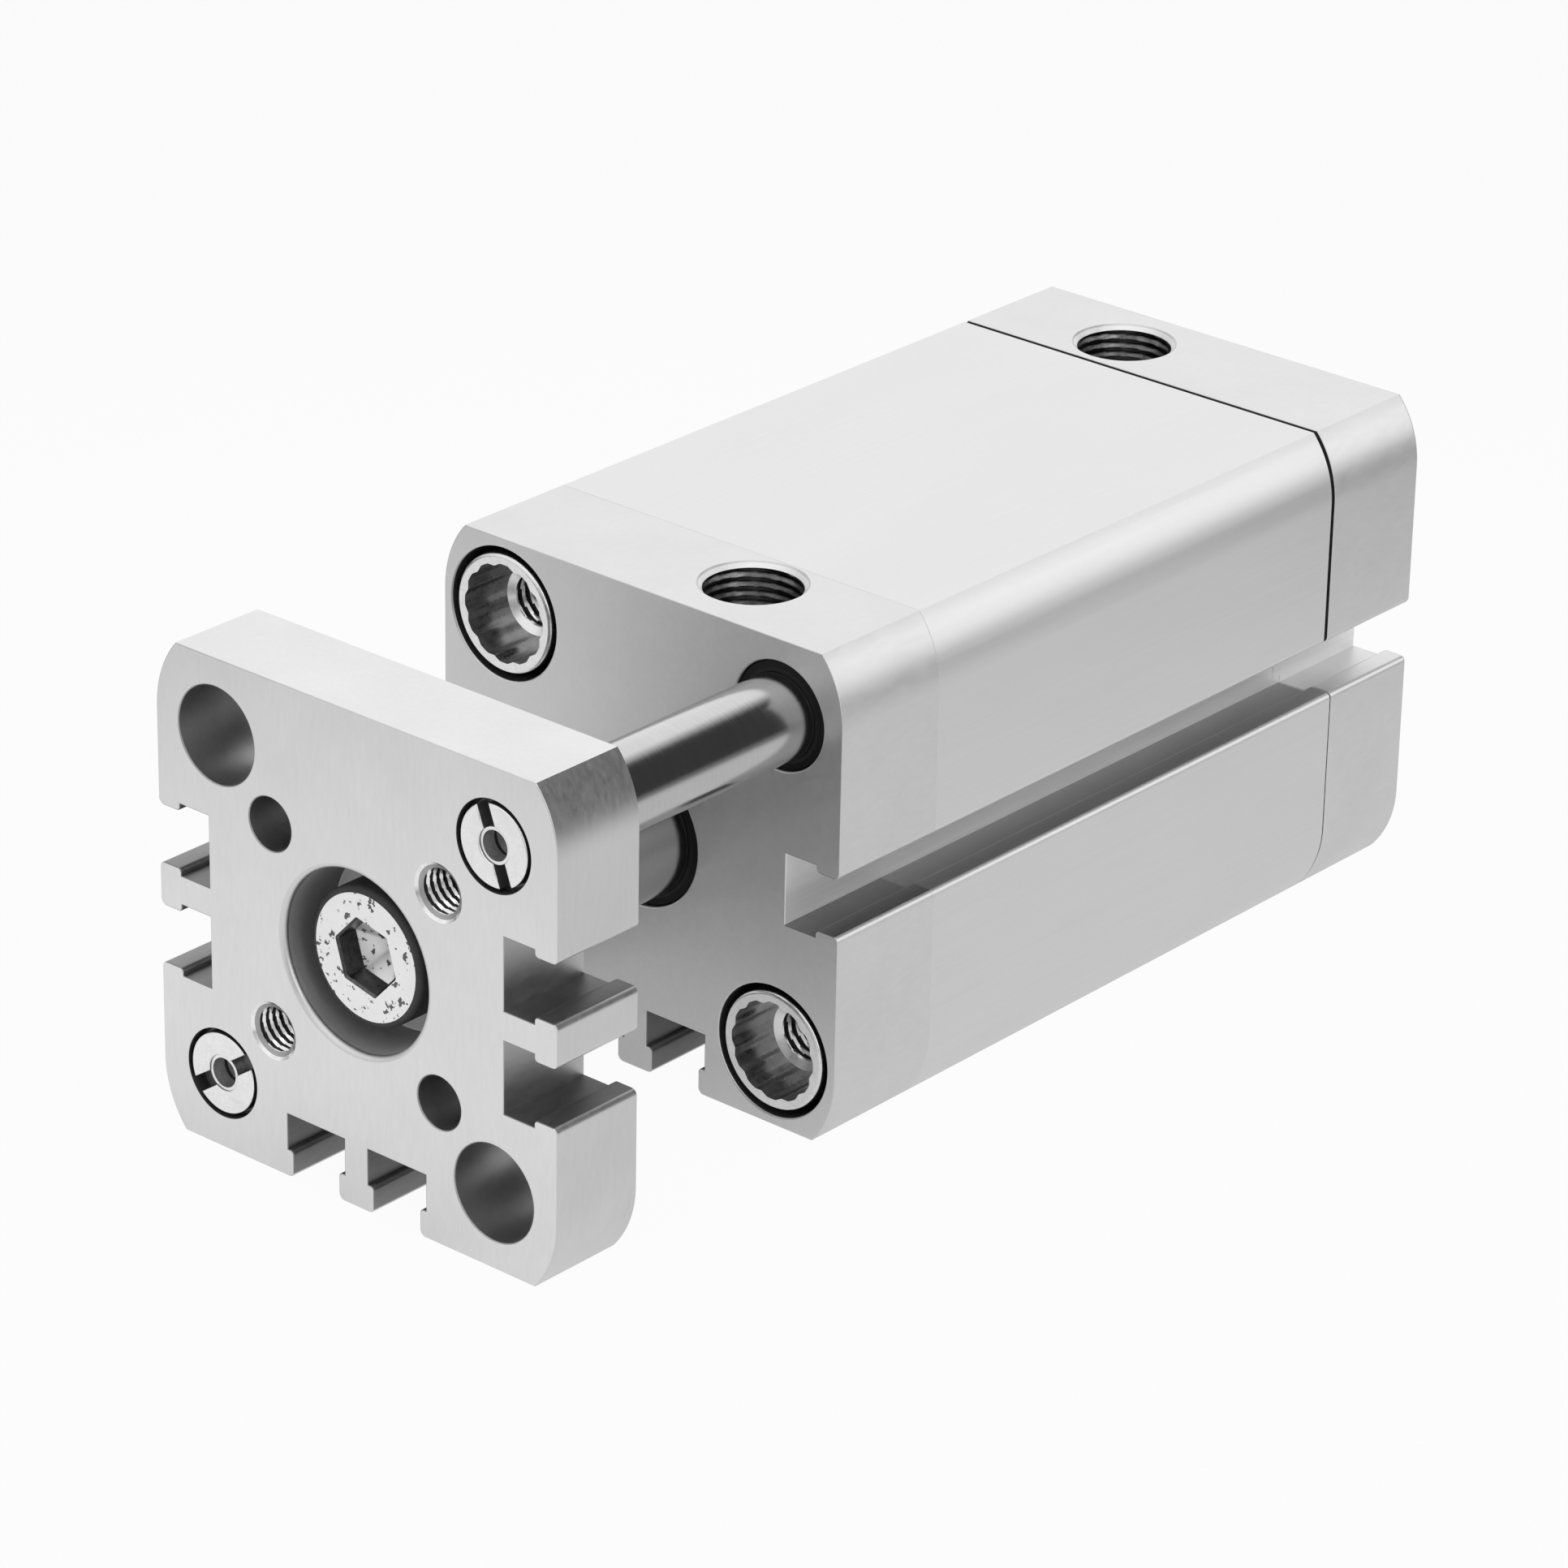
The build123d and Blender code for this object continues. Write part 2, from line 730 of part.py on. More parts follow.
nodes["rod_seal"] = build_rod_seal()
nodes["rod_seal_retainer"] = build_seal_retainer()
for place, (guide_x, guide_z), slot_turn in zip(("upper", "lower"), guide_corners, (110.5, 34.5)):
    nodes["guide_wiper_" + place] = wiper(
        guide_diameter / 2, guide_wiper_diameter / 2, guide_wiper_length, guide_x, guide_z)
    nodes["guide_bush_" + place] = ring(
        guide_diameter / 2 + running_clearance,
        guide_bush_diameter / 2 - seat_clearance,
        front_face + guide_bush_start + seat_clearance,
        barrel_front - seat_clearance,
        guide_x,
        guide_z,
    )
    nodes["guide_rod_" + place] = build_guide_rod(guide_x, guide_z, slot_turn)
    nodes["guide_ring_" + place] = build_guide_ring(guide_x, guide_z)
nodes["guide_ring_clips"] = group(build_clip(x, z) for x, z in guide_corners)
nodes["front_collar_screws"] = group(
    collar_screw(front_face, 1, front_collar_head, front_collar_length, x, z)
    for x, z in screw_corners)
nodes["rear_collar_screws"] = group(
    collar_screw(0, -1, rear_collar_head, rear_collar_length, x, z)
    for x, z in all_corners)
nodes["yoke_plate"] = build_yoke()
nodes["yoke_screw"] = build_yoke_screw()
nodes["piston_rod"] = build_piston_rod()
nodes["piston_front_half"] = piston_half(True)
nodes["piston_rear_half"] = piston_half(False)
nodes["magnet_ring"] = ring(
    magnet_inner + seat_clearance,
    magnet_outer - seat_clearance,
    piston_middle - magnet_length / 2 + seat_clearance,
    piston_middle + magnet_length / 2 - seat_clearance,
)
nodes["piston_seal_front"] = piston_seal(True)
nodes["piston_seal_rear"] = piston_seal(False)
nodes["piston_guide_band"] = ring(
    bore_diameter / 2 - band_clearance - piston_band_thickness,
    bore_diameter / 2 - band_clearance,
    piston_middle - piston_band_width / 2 + seat_clearance,
    piston_middle + piston_band_width / 2 - seat_clearance,
)
nodes["piston_screw"] = build_piston_screw()

for node_name, shape in nodes.items():
    export_step(shape, "parts/" + node_name + ".step")
print("nodes written:", len(nodes))
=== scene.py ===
# Looks of the guided air cylinder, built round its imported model.
# Lengths in the dictionaries are millimetres; every mesh is made in metres in the model's own frame.
import json
import math
import bmesh
import bpy
import numpy as np
from mathutils import Matrix, Vector
from mathutils.geometry import tessellate_polygon


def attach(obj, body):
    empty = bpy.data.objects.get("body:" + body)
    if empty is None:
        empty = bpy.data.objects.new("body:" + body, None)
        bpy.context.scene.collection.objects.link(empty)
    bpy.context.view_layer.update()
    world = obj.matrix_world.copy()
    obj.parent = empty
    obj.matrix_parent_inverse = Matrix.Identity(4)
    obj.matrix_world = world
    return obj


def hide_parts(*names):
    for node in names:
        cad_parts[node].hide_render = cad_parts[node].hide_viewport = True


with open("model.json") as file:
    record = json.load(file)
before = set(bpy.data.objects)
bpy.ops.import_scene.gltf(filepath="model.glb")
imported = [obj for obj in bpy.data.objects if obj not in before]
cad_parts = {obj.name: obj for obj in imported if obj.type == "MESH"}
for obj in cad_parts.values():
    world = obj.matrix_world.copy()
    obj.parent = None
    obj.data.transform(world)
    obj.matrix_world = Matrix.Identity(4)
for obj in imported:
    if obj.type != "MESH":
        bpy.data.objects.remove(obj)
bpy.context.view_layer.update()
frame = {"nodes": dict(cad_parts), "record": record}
nodes = frame["nodes"]
mm = 0.001
fixedBody = "cylinder_body"
slidingBody = "yoke_and_rods"
print("frame loaded:", len(nodes), "nodes")


# Camera

cameraSettings = {
    "azimuth": 40.3737,
    "elevation": 24.7876,
    "roll": 1.1321,
    "place": (352.040, -478.023, 248.865),
    "focalPixels": 8091.08,
    "framePixels": 1932,
    "sensor": 36.0,
}


def addCamera():
    # Back vector = (sin a cos e, -cos a cos e, sin e); right and up are turned by the roll.
    c = cameraSettings
    a = math.radians(c["azimuth"])
    e = math.radians(c["elevation"])
    r = math.radians(c["roll"])
    back = Vector((math.sin(a) * math.cos(e), -math.cos(a) * math.cos(e), math.sin(e)))
    level = Vector((math.cos(a), math.sin(a), 0.0))
    upright = level.cross(-back)
    right = level * math.cos(r) + upright * math.sin(r)
    up = upright * math.cos(r) - level * math.sin(r)
    data = bpy.data.cameras.new("productCamera")
    data.sensor_width = c["sensor"]
    data.lens = c["focalPixels"] / c["framePixels"] * c["sensor"]
    data.clip_start = 0.01
    data.clip_end = 50.0
    camera = bpy.data.objects.new("productCamera", data)
    camera.matrix_world = Matrix((
        (right.x, up.x, back.x, c["place"][0] * mm),
        (right.y, up.y, back.y, c["place"][1] * mm),
        (right.z, up.z, back.z, c["place"][2] * mm),
        (0, 0, 0, 1),
    ))
    bpy.context.scene.collection.objects.link(camera)
    bpy.context.scene.camera = camera


addCamera()
print("camera placed")


# Node helpers for the finishes and the surroundings

class Nodes:
    # Adds shader nodes to an emptied tree; inputs take numbers or other nodes' outputs.
    def __init__(self, tree, outputKind, coordinates):
        self.tree = tree
        tree.nodes.clear()
        self.output = self.add(outputKind)
        self.coords = self.add("ShaderNodeTexCoord").outputs[coordinates]

    def set(self, node, values):
        for name, value in values.items():
            if isinstance(value, bpy.types.NodeSocket):
                self.tree.links.new(value, node.inputs[name])
            else:
                node.inputs[name].default_value = value

    def add(self, kind, values=None, **properties):
        node = self.tree.nodes.new(kind)
        for name, value in properties.items():
            setattr(node, name, value)
        self.set(node, values or {})
        return node

    def noise(self, sizes, detail=3.0):
        # The sizes are those of the grain along each direction, in millimetres.
        scale = 1.0 / (np.broadcast_to(sizes, 3) * mm)
        place = self.add("ShaderNodeMapping", {"Vector": self.coords, "Scale": scale})
        return self.add("ShaderNodeTexNoise", {"Vector": place.outputs["Vector"], "Scale": 1.0,
                                               "Detail": detail, "Roughness": 0.6}).outputs["Fac"]

    def ranged(self, value, reach, low, high, shape="LINEAR"):
        # The reach of the value mapped to low ... high and held beyond it.
        return self.add("ShaderNodeMapRange", {
            "Value": value, "From Min": reach[0], "From Max": reach[1], "To Min": low, "To Max": high,
        }, interpolation_type=shape).outputs["Result"]

    def spread(self, noise, low, high):
        # A noise keeps mostly to its middle, so that alone is mapped.
        return self.ranged(noise, (0.3, 0.7), low, high)

    def maths(self, operation, *values):
        return self.add("ShaderNodeMath", dict(enumerate(values)), operation=operation).outputs["Value"]

    def blend(self, first, share, second):
        # first * share + second * (1 - share)
        return self.maths("MULTIPLY_ADD", first, share, self.maths("MULTIPLY", second, 1 - share))

    def mixed(self, factor, first, second):
        values = {"Factor": factor, "A": first, "B": second}
        return self.add("ShaderNodeMix", values, data_type="RGBA").outputs["Result"]

    def mixedShader(self, factor, first, second):
        return self.add("ShaderNodeMixShader", {"Fac": factor, 1: first, 2: second}).outputs["Shader"]

    def measured(self, operation, vector):
        # Distance from a place, or length along a direction.
        values = {0: self.coords, 1: vector}
        return self.add("ShaderNodeVectorMath", values, operation=operation).outputs["Value"]


class Finish(Nodes):
    # A material with one shader.
    def __init__(self, name, metallic):
        self.material = bpy.data.materials.new(name)
        self.material.use_nodes = True
        super().__init__(self.material.node_tree, "ShaderNodeOutputMaterial", "Object")
        self.shader = self.add("ShaderNodeBsdfPrincipled", {"Metallic": metallic})
        self.set(self.output, {"Surface": self.shader.outputs["BSDF"]})

    def dress(self, colour, roughness, height, bump, bumpDepth):
        relief = self.add("ShaderNodeBump", {"Height": height, "Strength": bump, "Distance": bumpDepth * mm})
        self.set(self.shader, {
            "Base Color": colour, "Roughness": roughness, "Normal": relief.outputs["Normal"],
        })
        return self.material


def grey(level):
    return (level, level, level, 1.0)


metalSettings = {
    # metallic, darkest and lightest tone, roughness, grain and cloud sizes, bump and its depth
    "barrelAnodised": (0.9, (0.63, 0.68), (0.38, 0.46), (0.35, 30.0, 0.35), (14.0, 40.0, 14.0), 0.10, 0.02),
    "capAnodised": (0.9, (0.60, 0.66), (0.36, 0.46), (0.6, 1.6, 0.5), 7.0, 0.10, 0.02),
    "endCapAnodised": (0.9, (0.60, 0.66), (0.36, 0.46), (0.6, 1.6, 0.5), 7.0, 0.10, 0.02),
    "yokeMilled": (1.0, (0.60, 0.67), (0.34, 0.43), (0.5, 0.5, 2.5), 9.0, 0.12, 0.02),
    # painted light: lighter copy of the yoke's finish for its front and rear faces
    "yokeFacePaintedLight": (1.0, (0.68, 0.76), (0.34, 0.43), (0.5, 0.5, 2.5), 9.0, 0.12, 0.02),
    "rodGround": (1.0, (0.45, 0.51), (0.14, 0.20), (4.0, 0.25, 4.0), (5.0, 9.0, 5.0), 0.05, 0.005),
    # painted shade: the guide rods' steel in a darker tone
    "pistonRodPaintedShade": (1.0, (0.36, 0.42), (0.14, 0.22), (4.0, 0.25, 4.0), (5.0, 9.0, 5.0), 0.05, 0.005),
    "screwPlated": (1.0, (0.62, 0.80), (0.18, 0.30), 0.5, 3.0, 0.12, 0.01),
    # painted highlight: light tone for the rods' end faces and the thin ring inside their centre holes
    "studFacePaintedHighlight": (0.9, (0.74, 0.90), (0.24, 0.36), 0.35, 2.0, 0.15, 0.01),
    # painted shade: dark tone of the yoke plate's holes, its recess floor and the rod's seat
    "boredWallPaintedShade": (1.0, (0.34, 0.42), (0.40, 0.50), (0.8, 0.12, 0.8), 2.5, 0.15, 0.01),
    # painted shade: darker tone of the barrel's slot walls
    "slotWallPaintedShade": (0.95, (0.30, 0.36), (0.50, 0.60), (0.35, 12.0, 0.35), (6.0, 14.0, 6.0), 0.10, 0.02),
    # painted light: lighter tone of the yoke recess's wall
    "recessWallPaintedLight": (0.9, (0.68, 0.76), (0.46, 0.56), (0.8, 0.12, 0.8), 2.5, 0.15, 0.01),
    # painted shade: dark tone of the yoke plate's slot walls
    "yokeSlotWallPaintedShade": (1.0, (0.22, 0.30), (0.44, 0.54), (0.5, 1.5, 0.5), 6.0, 0.12, 0.02),
    # painted shade: darker tone of the yoke plate's slot floors
    "yokeSlotFloorPaintedShade": (1.0, (0.46, 0.54), (0.38, 0.48), (0.5, 1.5, 0.5), 6.0, 0.12, 0.02),
    # painted shade: dark tone of the front cap's slot walls and of the rods' end slots and centre holes
    "capSlotWallPaintedShade": (0.95, (0.19, 0.24), (0.46, 0.56), (0.6, 1.6, 0.5), 5.0, 0.10, 0.02),
    # painted highlight: bright tone of the thread crests, the tapped holes' mouth rings and the screw
    # sockets' floors
    "threadCrestPaintedHighlight": (1.0, (0.70, 0.88), (0.16, 0.26), 0.3, 1.2, 0.12, 0.01),
    # painted shade: dark tone of the ports' threaded walls and floors, lighter than their roots
    "portThreadPaintedShade": (1.0, (0.06, 0.32), (0.26, 0.38), (0.7, 0.7, 0.3), (1.6, 1.6, 3.0), 0.12, 0.01),
    # painted shade: nearly black tone of the thread roots
    "threadRootPaintedShade": (0.9, (0.015, 0.045), (0.35, 0.5), 0.3, 1.2, 0.12, 0.01),
    # painted shade: nearly black tone of the yoke screw's hexagon walls and the ports' thread roots
    "hexWallPaintedShade": (1.0, (0.05, 0.14), (0.25, 0.36), 0.5, 1.6, 0.2, 0.01),
    # painted shade: darker tone of the cap screws' socket walls
    "socketWallPaintedShade": (1.0, (0.20, 0.35), (0.24, 0.36), 0.7, 1.8, 0.3, 0.02),
    # painted light: light, less metallic tone that lifts the body's slot floors and the ports' inner bands
    "slotFloorPaintedLight": (0.6, (0.86, 0.94), (0.40, 0.50), (0.35, 12.0, 0.35), (6.0, 14.0, 6.0), 0.10, 0.02),
    "seamShade": (0.5, (0.04, 0.08), (0.5, 0.7), 0.5, 3.0, 0.1, 0.01),
    "bushBronze": (1.0, (0.35, 0.5), (0.3, 0.45), 0.4, 2.0, 0.2, 0.01),
}
headSettings = {
    "metallic": 0.6, "plate": (0.92, 1.0), "pitTone": 0.12, "cloud": 1.6, "pit": 0.65,
    "pitEdge": (0.605, 0.64), "roughness": (0.26, 0.42), "bump": 0.35, "bumpDepth": 0.03,
}
rubberLook = {
    "toneReach": (0.7, 1.4), "roughnessReach": 0.08, "gloss": 0.18, "cloud": 1.5, "relief": 0.15,
    "bump": 0.2, "bumpDepth": 0.01,
}
rubberSettings = {
    # tone and roughness
    "wiperRubber": (0.005, 0.5),
    "sealRubber": (0.02, 0.5),
    "cushionPlastic": (0.35, 0.5),
    "bandPlastic": (0.12, 0.45),
}
speckSize = 0.12


def cloudyMetal(name, metallic, tones, roughness, grainSize, cloudSize, bump, bumpDepth):
    # Grain along the working direction with soft clouds in the tone and fine specks in the relief.
    f = Finish(name, metallic)
    grain = f.noise(grainSize, 4.0)
    cloud = f.noise(cloudSize, 2.0)
    speck = f.noise(speckSize, 1.0)
    colour = f.mixed(f.spread(f.blend(grain, 0.6, cloud), 0.0, 1.0), grey(tones[0]), grey(tones[1]))
    rough = f.spread(f.blend(grain, 0.7, speck), *roughness)
    return f.dress(colour, rough, f.blend(grain, 0.8, speck), bump, bumpDepth)


def speckledHead(name):
    # Bright plating with small dark pits: pits where a fine noise passes a threshold.
    s = headSettings
    f = Finish(name, s["metallic"])
    cloud = f.noise(s["cloud"])
    pits = f.ranged(f.noise(s["pit"], 2.0), s["pitEdge"], 0.0, 1.0, "SMOOTHSTEP")
    plate = f.mixed(f.spread(cloud, 0.0, 1.0), grey(s["plate"][0]), grey(s["plate"][1]))
    colour = f.mixed(pits, plate, grey(s["pitTone"]))
    height = f.maths("SUBTRACT", 1.0, pits)
    return f.dress(colour, f.spread(cloud, *s["roughness"]), height, s["bump"], s["bumpDepth"])


def rubberFinish(name, tone, roughness):
    # Cloudy tone and roughness round the given ones, with a faint fine relief.
    s = rubberLook
    f = Finish(name, 0.0)
    f.set(f.shader, {"Specular IOR Level": s["gloss"]})
    cloud = f.noise(s["cloud"])
    colour = f.mixed(cloud, *[grey(tone * share) for share in s["toneReach"]])
    rough = f.spread(cloud, roughness - s["roughnessReach"], roughness + s["roughnessReach"])
    return f.dress(colour, rough, f.noise(s["relief"]), s["bump"], s["bumpDepth"])


finishes = {name: cloudyMetal(name, *row) for name, row in metalSettings.items()}
finishes.update({name: rubberFinish(name, *row) for name, row in rubberSettings.items()})
finishes["screwHeadPlated"] = speckledHead("screwHeadPlated")
print("finishes made:", len(finishes))


# Mesh helpers

meshSettings = {
    "mergeDistance": 2e-7, "leastEdge": 1e-8, "sharpAngle": 32.0,
    "guardShare": 1.3,  # of an edge's size
    "fadeShare": 0.3,  # of a thread's pitch
}
edgeSteps = 3
smallTurns = 64
holeTurns = 96
screwTurns = 120
wideTurns = 128


def fullTurn(turns):
    return np.arange(turns) * 2 * math.pi / turns


def polar(centre, radius, angles):
    # Centre plus radius times (cos, sin); the radius is a number or an array with one for each angle.
    return np.column_stack((centre[0] + radius * np.cos(angles), centre[1] + radius * np.sin(angles)))


def arcPoints(centre, radius, fromAngle, toAngle, steps):
    return polar(centre, radius, np.radians(np.linspace(fromAngle, toAngle, steps + 1)))


def circleLoop(centre, radius, turns=holeTurns):
    return polar(centre, radius, fullTurn(turns))


def loopOutward(loop):
    # Mitred outward direction at each corner: (n1 + n2) / (1 + n1.n2) of its two edges.
    ahead = np.roll(loop, -1, axis=0) - loop
    ahead /= np.linalg.norm(ahead, axis=1)[:, None]
    normal = np.column_stack((ahead[:, 1], -ahead[:, 0]))
    before = np.roll(normal, 1, axis=0)
    return (normal + before) / (1 + np.sum(normal * before, axis=1))[:, None]


def gridFaces(rows, columns):
    # Quads of a grid whose columns close round on themselves.
    index = np.arange(rows * columns).reshape(rows, columns)
    nextIndex = np.roll(index, -1, axis=1)
    return np.stack((index[:-1], nextIndex[:-1], nextIndex[1:], index[1:]), axis=-1).reshape(-1, 4)


def layered(rows):
    # Round surface through loops with as many points each; a row is (loop, y).
    layers = [np.column_stack((loop[:, 0], np.broadcast_to(y, len(loop)), loop[:, 1])) for loop, y in rows]
    return np.concatenate(layers), gridFaces(len(rows), len(layers[0])), True


def carried(loop, stations, outward=None):
    # The loop carried along Y; each station is (y, inset) and moves the loop inwards by the inset.
    # Both may differ from point to point.
    outward = loopOutward(loop) if outward is None else outward
    insets = [np.broadcast_to(inset, len(loop))[:, None] for y, inset in stations]
    return layered([(loop - outward * inset, y) for inset, (y, _) in zip(insets, stations)])


def bevelStations(face, direction, size, steps):
    # Quarter circle from (face, size) to (face + size, 0), and a guard row that keeps the flat shaded flat.
    angles = np.radians(np.linspace(0, 90, steps + 1))
    rounded = [(face + direction * size * (1 - math.cos(a)), size * (1 - math.sin(a))) for a in angles]
    return rounded + [(face + direction * size * meshSettings["guardShare"], 0.0)]


def mouthRows(radius, face, direction, size, steps=edgeSteps):
    # Start of a hole's profile: its rounded edge, from the face inwards.
    return [(radius + inset, y) for y, inset in bevelStations(face, direction, size, steps)]


def boredRows(face, direction, edge, radii, levels, steps=edgeSteps):
    # Profile of a hole from its rounded mouth inwards: each radius reaches to its level.
    rows = mouthRows(radii[0], face, direction, edge, steps)
    for radius, following, level in zip(radii, radii[1:], levels):
        rows += [(radius, level), (following, level)]
    return rows + [(radii[-1], levels[-1])]


def steppedLoop(loop, level):
    # The loop with its crossings of the level doubled, its outward directions, and which points are above:
    # crossing = p + (level - z) / (zNext - z) * (pNext - p). A point on the level counts as below.
    above = loop[:, 1] > level + 1e-6
    following = np.roll(loop, -1, axis=0)
    crossing = np.flatnonzero(above != np.roll(above, -1))
    share = (level - loop[crossing, 1]) / (following[crossing, 1] - loop[crossing, 1])
    points = loop[crossing] + share[:, None] * (following[crossing] - loop[crossing])
    single = np.insert(loop, crossing + 1, points, axis=0)
    outward = loopOutward(single)
    places = crossing + 1 + np.arange(len(crossing))
    before = above[crossing]
    above = np.insert(above, crossing + 1, ~before)
    return (np.insert(single, places, single[places], axis=0),
            np.insert(outward, places, outward[places], axis=0),
            np.insert(above, places, before))


def singled(points, loop):
    # The points without those that stand where a stepped loop is doubled.
    return points[~np.all(loop == np.roll(loop, 1, axis=0), axis=1)]


def runOf(loop, chosen):
    # The chosen points in order, from the first that follows one left out.
    start = int(np.flatnonzero(chosen & ~np.roll(chosen, 1))[0])
    return np.roll(loop, -start, axis=0)[np.roll(chosen, -start)]


def steppedFaces(outer, outerAbove, inner, innerAbove, upper, lower, holes):
    # End face in two levels with the step between them: the region above at one Y, the rest at another.
    parts = []
    for sign, level in ((1, upper), (-1, lower)):
        outline = runOf(outer, outerAbove if sign > 0 else ~outerAbove)
        opening = runOf(inner, innerAbove if sign > 0 else ~innerAbove)
        region = [np.concatenate((outline, opening[::-1]))]
        region += [hole for hole in holes if sign * hole[:, 1].mean() > 0]
        parts.append(flatFace(region, level))
        if sign < 0:
            continue
        for edge in (np.array([outline[0], opening[0]]), np.array([opening[-1], outline[-1]])):
            wall = np.array([(x, y, z) for y in (upper, lower) for x, z in edge])
            parts.append((wall, np.array([[0, 1, 3, 2]]), False))
    return parts


def threadDepth(angles, profile, thread):
    # Saw-tooth ridge that climbs one pitch a turn, |2 frac(along / pitch - angle / 2 pi) - 1|, on the rows
    # with the thread's radius; near both ends of them it stays at its crest.
    along = profile[:, 1]
    onWall = np.isclose(profile[:, 0], thread["radius"])
    turn = along[:, None] / thread["pitch"] - angles[None, :] / (2 * math.pi)
    ridge = np.abs(2 * (turn - np.floor(turn)) - 1)
    fromEnds = np.minimum(along - along[onWall].min(), along[onWall].max() - along)
    cut = np.clip(fromEnds / (meshSettings["fadeShare"] * thread["pitch"]), 0, 1)
    return thread["height"] * np.maximum(ridge, 1 - cut[:, None]) * onWall[:, None]


def threadRows(start, end, thread, steps=16):
    # Rows of a threaded wall's profile, with so many steps to a pitch.
    count = int(abs(end - start) / thread["pitch"] * steps) + 1
    return [(thread["radius"], at) for at in np.linspace(start, end, count)]


def turnedSurface(profile, centre=(0.0, 0.0), turns=holeTurns, upright=False, thread=None):
    # Radius and place along the axis, turned round Y (or round Z where upright).
    profile = np.asarray(profile, float)
    angles = fullTurn(turns)
    radius = np.repeat(profile[:, :1], turns, axis=1)
    if thread:
        radius = radius - threadDepth(angles, profile, thread)
    first = centre[0] + radius * np.cos(angles)
    second = centre[1] + radius * np.sin(angles)
    along = np.repeat(profile[:, 1:2], turns, axis=1)
    layers = (first, second, along) if upright else (first, along, second)
    return np.stack(layers, axis=-1).reshape(-1, 3), gridFaces(len(profile), turns), True


def threadedHole(profile, centre, turns, thread, crestHighlight, rootShade, rowShades, upright=False):
    # A face takes the crest's finish, a painted highlight, where its middle lies above a share of the
    # thread's height, and the root's finish, painted shade, elsewhere; the rows named in rowShades take their
    # own.
    profile = np.asarray(profile, float)
    ridge = threadDepth(fullTurn(turns), profile, thread)
    middle = ridge + np.roll(ridge, -1, axis=1)
    middle = (middle[:-1] + middle[1:]) / 4
    shades = np.where(middle > thread["height"] * thread["crestHighlightShare"], crestHighlight, rootShade)
    for row, shade in rowShades.items():
        shades[row] = shade
    return (*turnedSurface(profile, centre, turns, upright, thread), shades.ravel())


def flatFace(loops, level, upright=False):
    # Flat region between the first loop and the others, at one Y (or Z) level.
    triangles = np.array(tessellate_polygon([[Vector((p[0], p[1], 0.0)) for p in loop] for loop in loops]))
    flat = np.concatenate(loops)
    level = np.full(len(flat), level)
    layers = (flat[:, 0], flat[:, 1], level) if upright else (flat[:, 0], level, flat[:, 1])
    return np.column_stack(layers), triangles, False


def makePiece(name, parts, finishNames, body, node):
    # Joins the parts, merges shared points, turns faces outwards, sets the piece on its body and hides the
    # imported node that it stands for. A part is its points, its faces, whether it is round and the place of
    # its finishes in the list of their names, one for all faces or one for each; without it all faces take
    # the first.
    points = []
    faces = []
    smooth = []
    materials = []
    count = 0
    for vertices, polygons, isRound, *shades in parts:
        points.append(vertices * mm)
        faces += (polygons + count).tolist()
        smooth += [isRound] * len(polygons)
        materials += np.broadcast_to(shades[0] if shades else 0, len(polygons)).tolist()
        count += len(vertices)
    mesh = bpy.data.meshes.new(name)
    mesh.from_pydata(np.concatenate(points).tolist(), [], faces)
    mesh.polygons.foreach_set("use_smooth", smooth)
    mesh.polygons.foreach_set("material_index", materials)
    joined = bmesh.new()
    joined.from_mesh(mesh)
    bmesh.ops.remove_doubles(joined, verts=joined.verts, dist=meshSettings["mergeDistance"])
    bmesh.ops.dissolve_degenerate(joined, edges=joined.edges, dist=meshSettings["leastEdge"])
    bmesh.ops.recalc_face_normals(joined, faces=joined.faces)
    openEdges = sum(not edge.is_manifold for edge in joined.edges)
    joined.to_mesh(mesh)
    joined.free()
    isSmooth = np.empty(len(mesh.polygons), bool)
    mesh.polygons.foreach_get("use_smooth", isSmooth)
    mesh.set_sharp_from_angle(angle=math.radians(meshSettings["sharpAngle"]))
    mesh.polygons.foreach_set("use_smooth", isSmooth)  # marking the sharp edges smooths every face
    for finishName in finishNames:
        mesh.materials.append(finishes[finishName])
    piece = bpy.data.objects.new(name, mesh)
    bpy.context.scene.collection.objects.link(piece)
    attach(piece, body)
    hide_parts(node)
    print("piece", name, len(mesh.polygons), "faces", openEdges, "open edges")
    return piece


# The slotted section that the body and the yoke plate share

section = {
    "half": 23.5, "crease": 21.0, "corner": 10.0, "cornerSteps": 14,
    "throat": 5.5, "room": 6.9, "lip": 2.6, "depth": 6.1,
    "mouthRound": 0.6, "bodyLipRound": 0.5, "yokeLipRound": 0.4, "roundSteps": 5,
    "spacing": 9.7, "slotReach": 10.0, "wallStart": 0.5, "floorStart": 6.0, "guard": 0.12,
    "screwOffset": 16.25,
}


def slotProfile(lipRound):
    # Slot open to the right, from its lower edge to its upper: mouth arc, lip arc, then the room.
    s = section
    throat = s["throat"] / 2
    room = s["room"] / 2
    lipFloor = s["half"] - s["lip"]
    mouth = s["mouthRound"]
    lower = np.concatenate((
        [(s["half"], -throat - mouth - s["guard"])],
        arcPoints((s["half"] - mouth, -throat - mouth), mouth, 0, 90, s["roundSteps"]),
        arcPoints((lipFloor + lipRound, -throat - lipRound), lipRound, 90, 180, s["roundSteps"]),
        [(lipFloor, -room), (s["half"] - s["depth"], -room)],
    ))
    return np.concatenate((lower, lower[::-1] * (1, -1)))


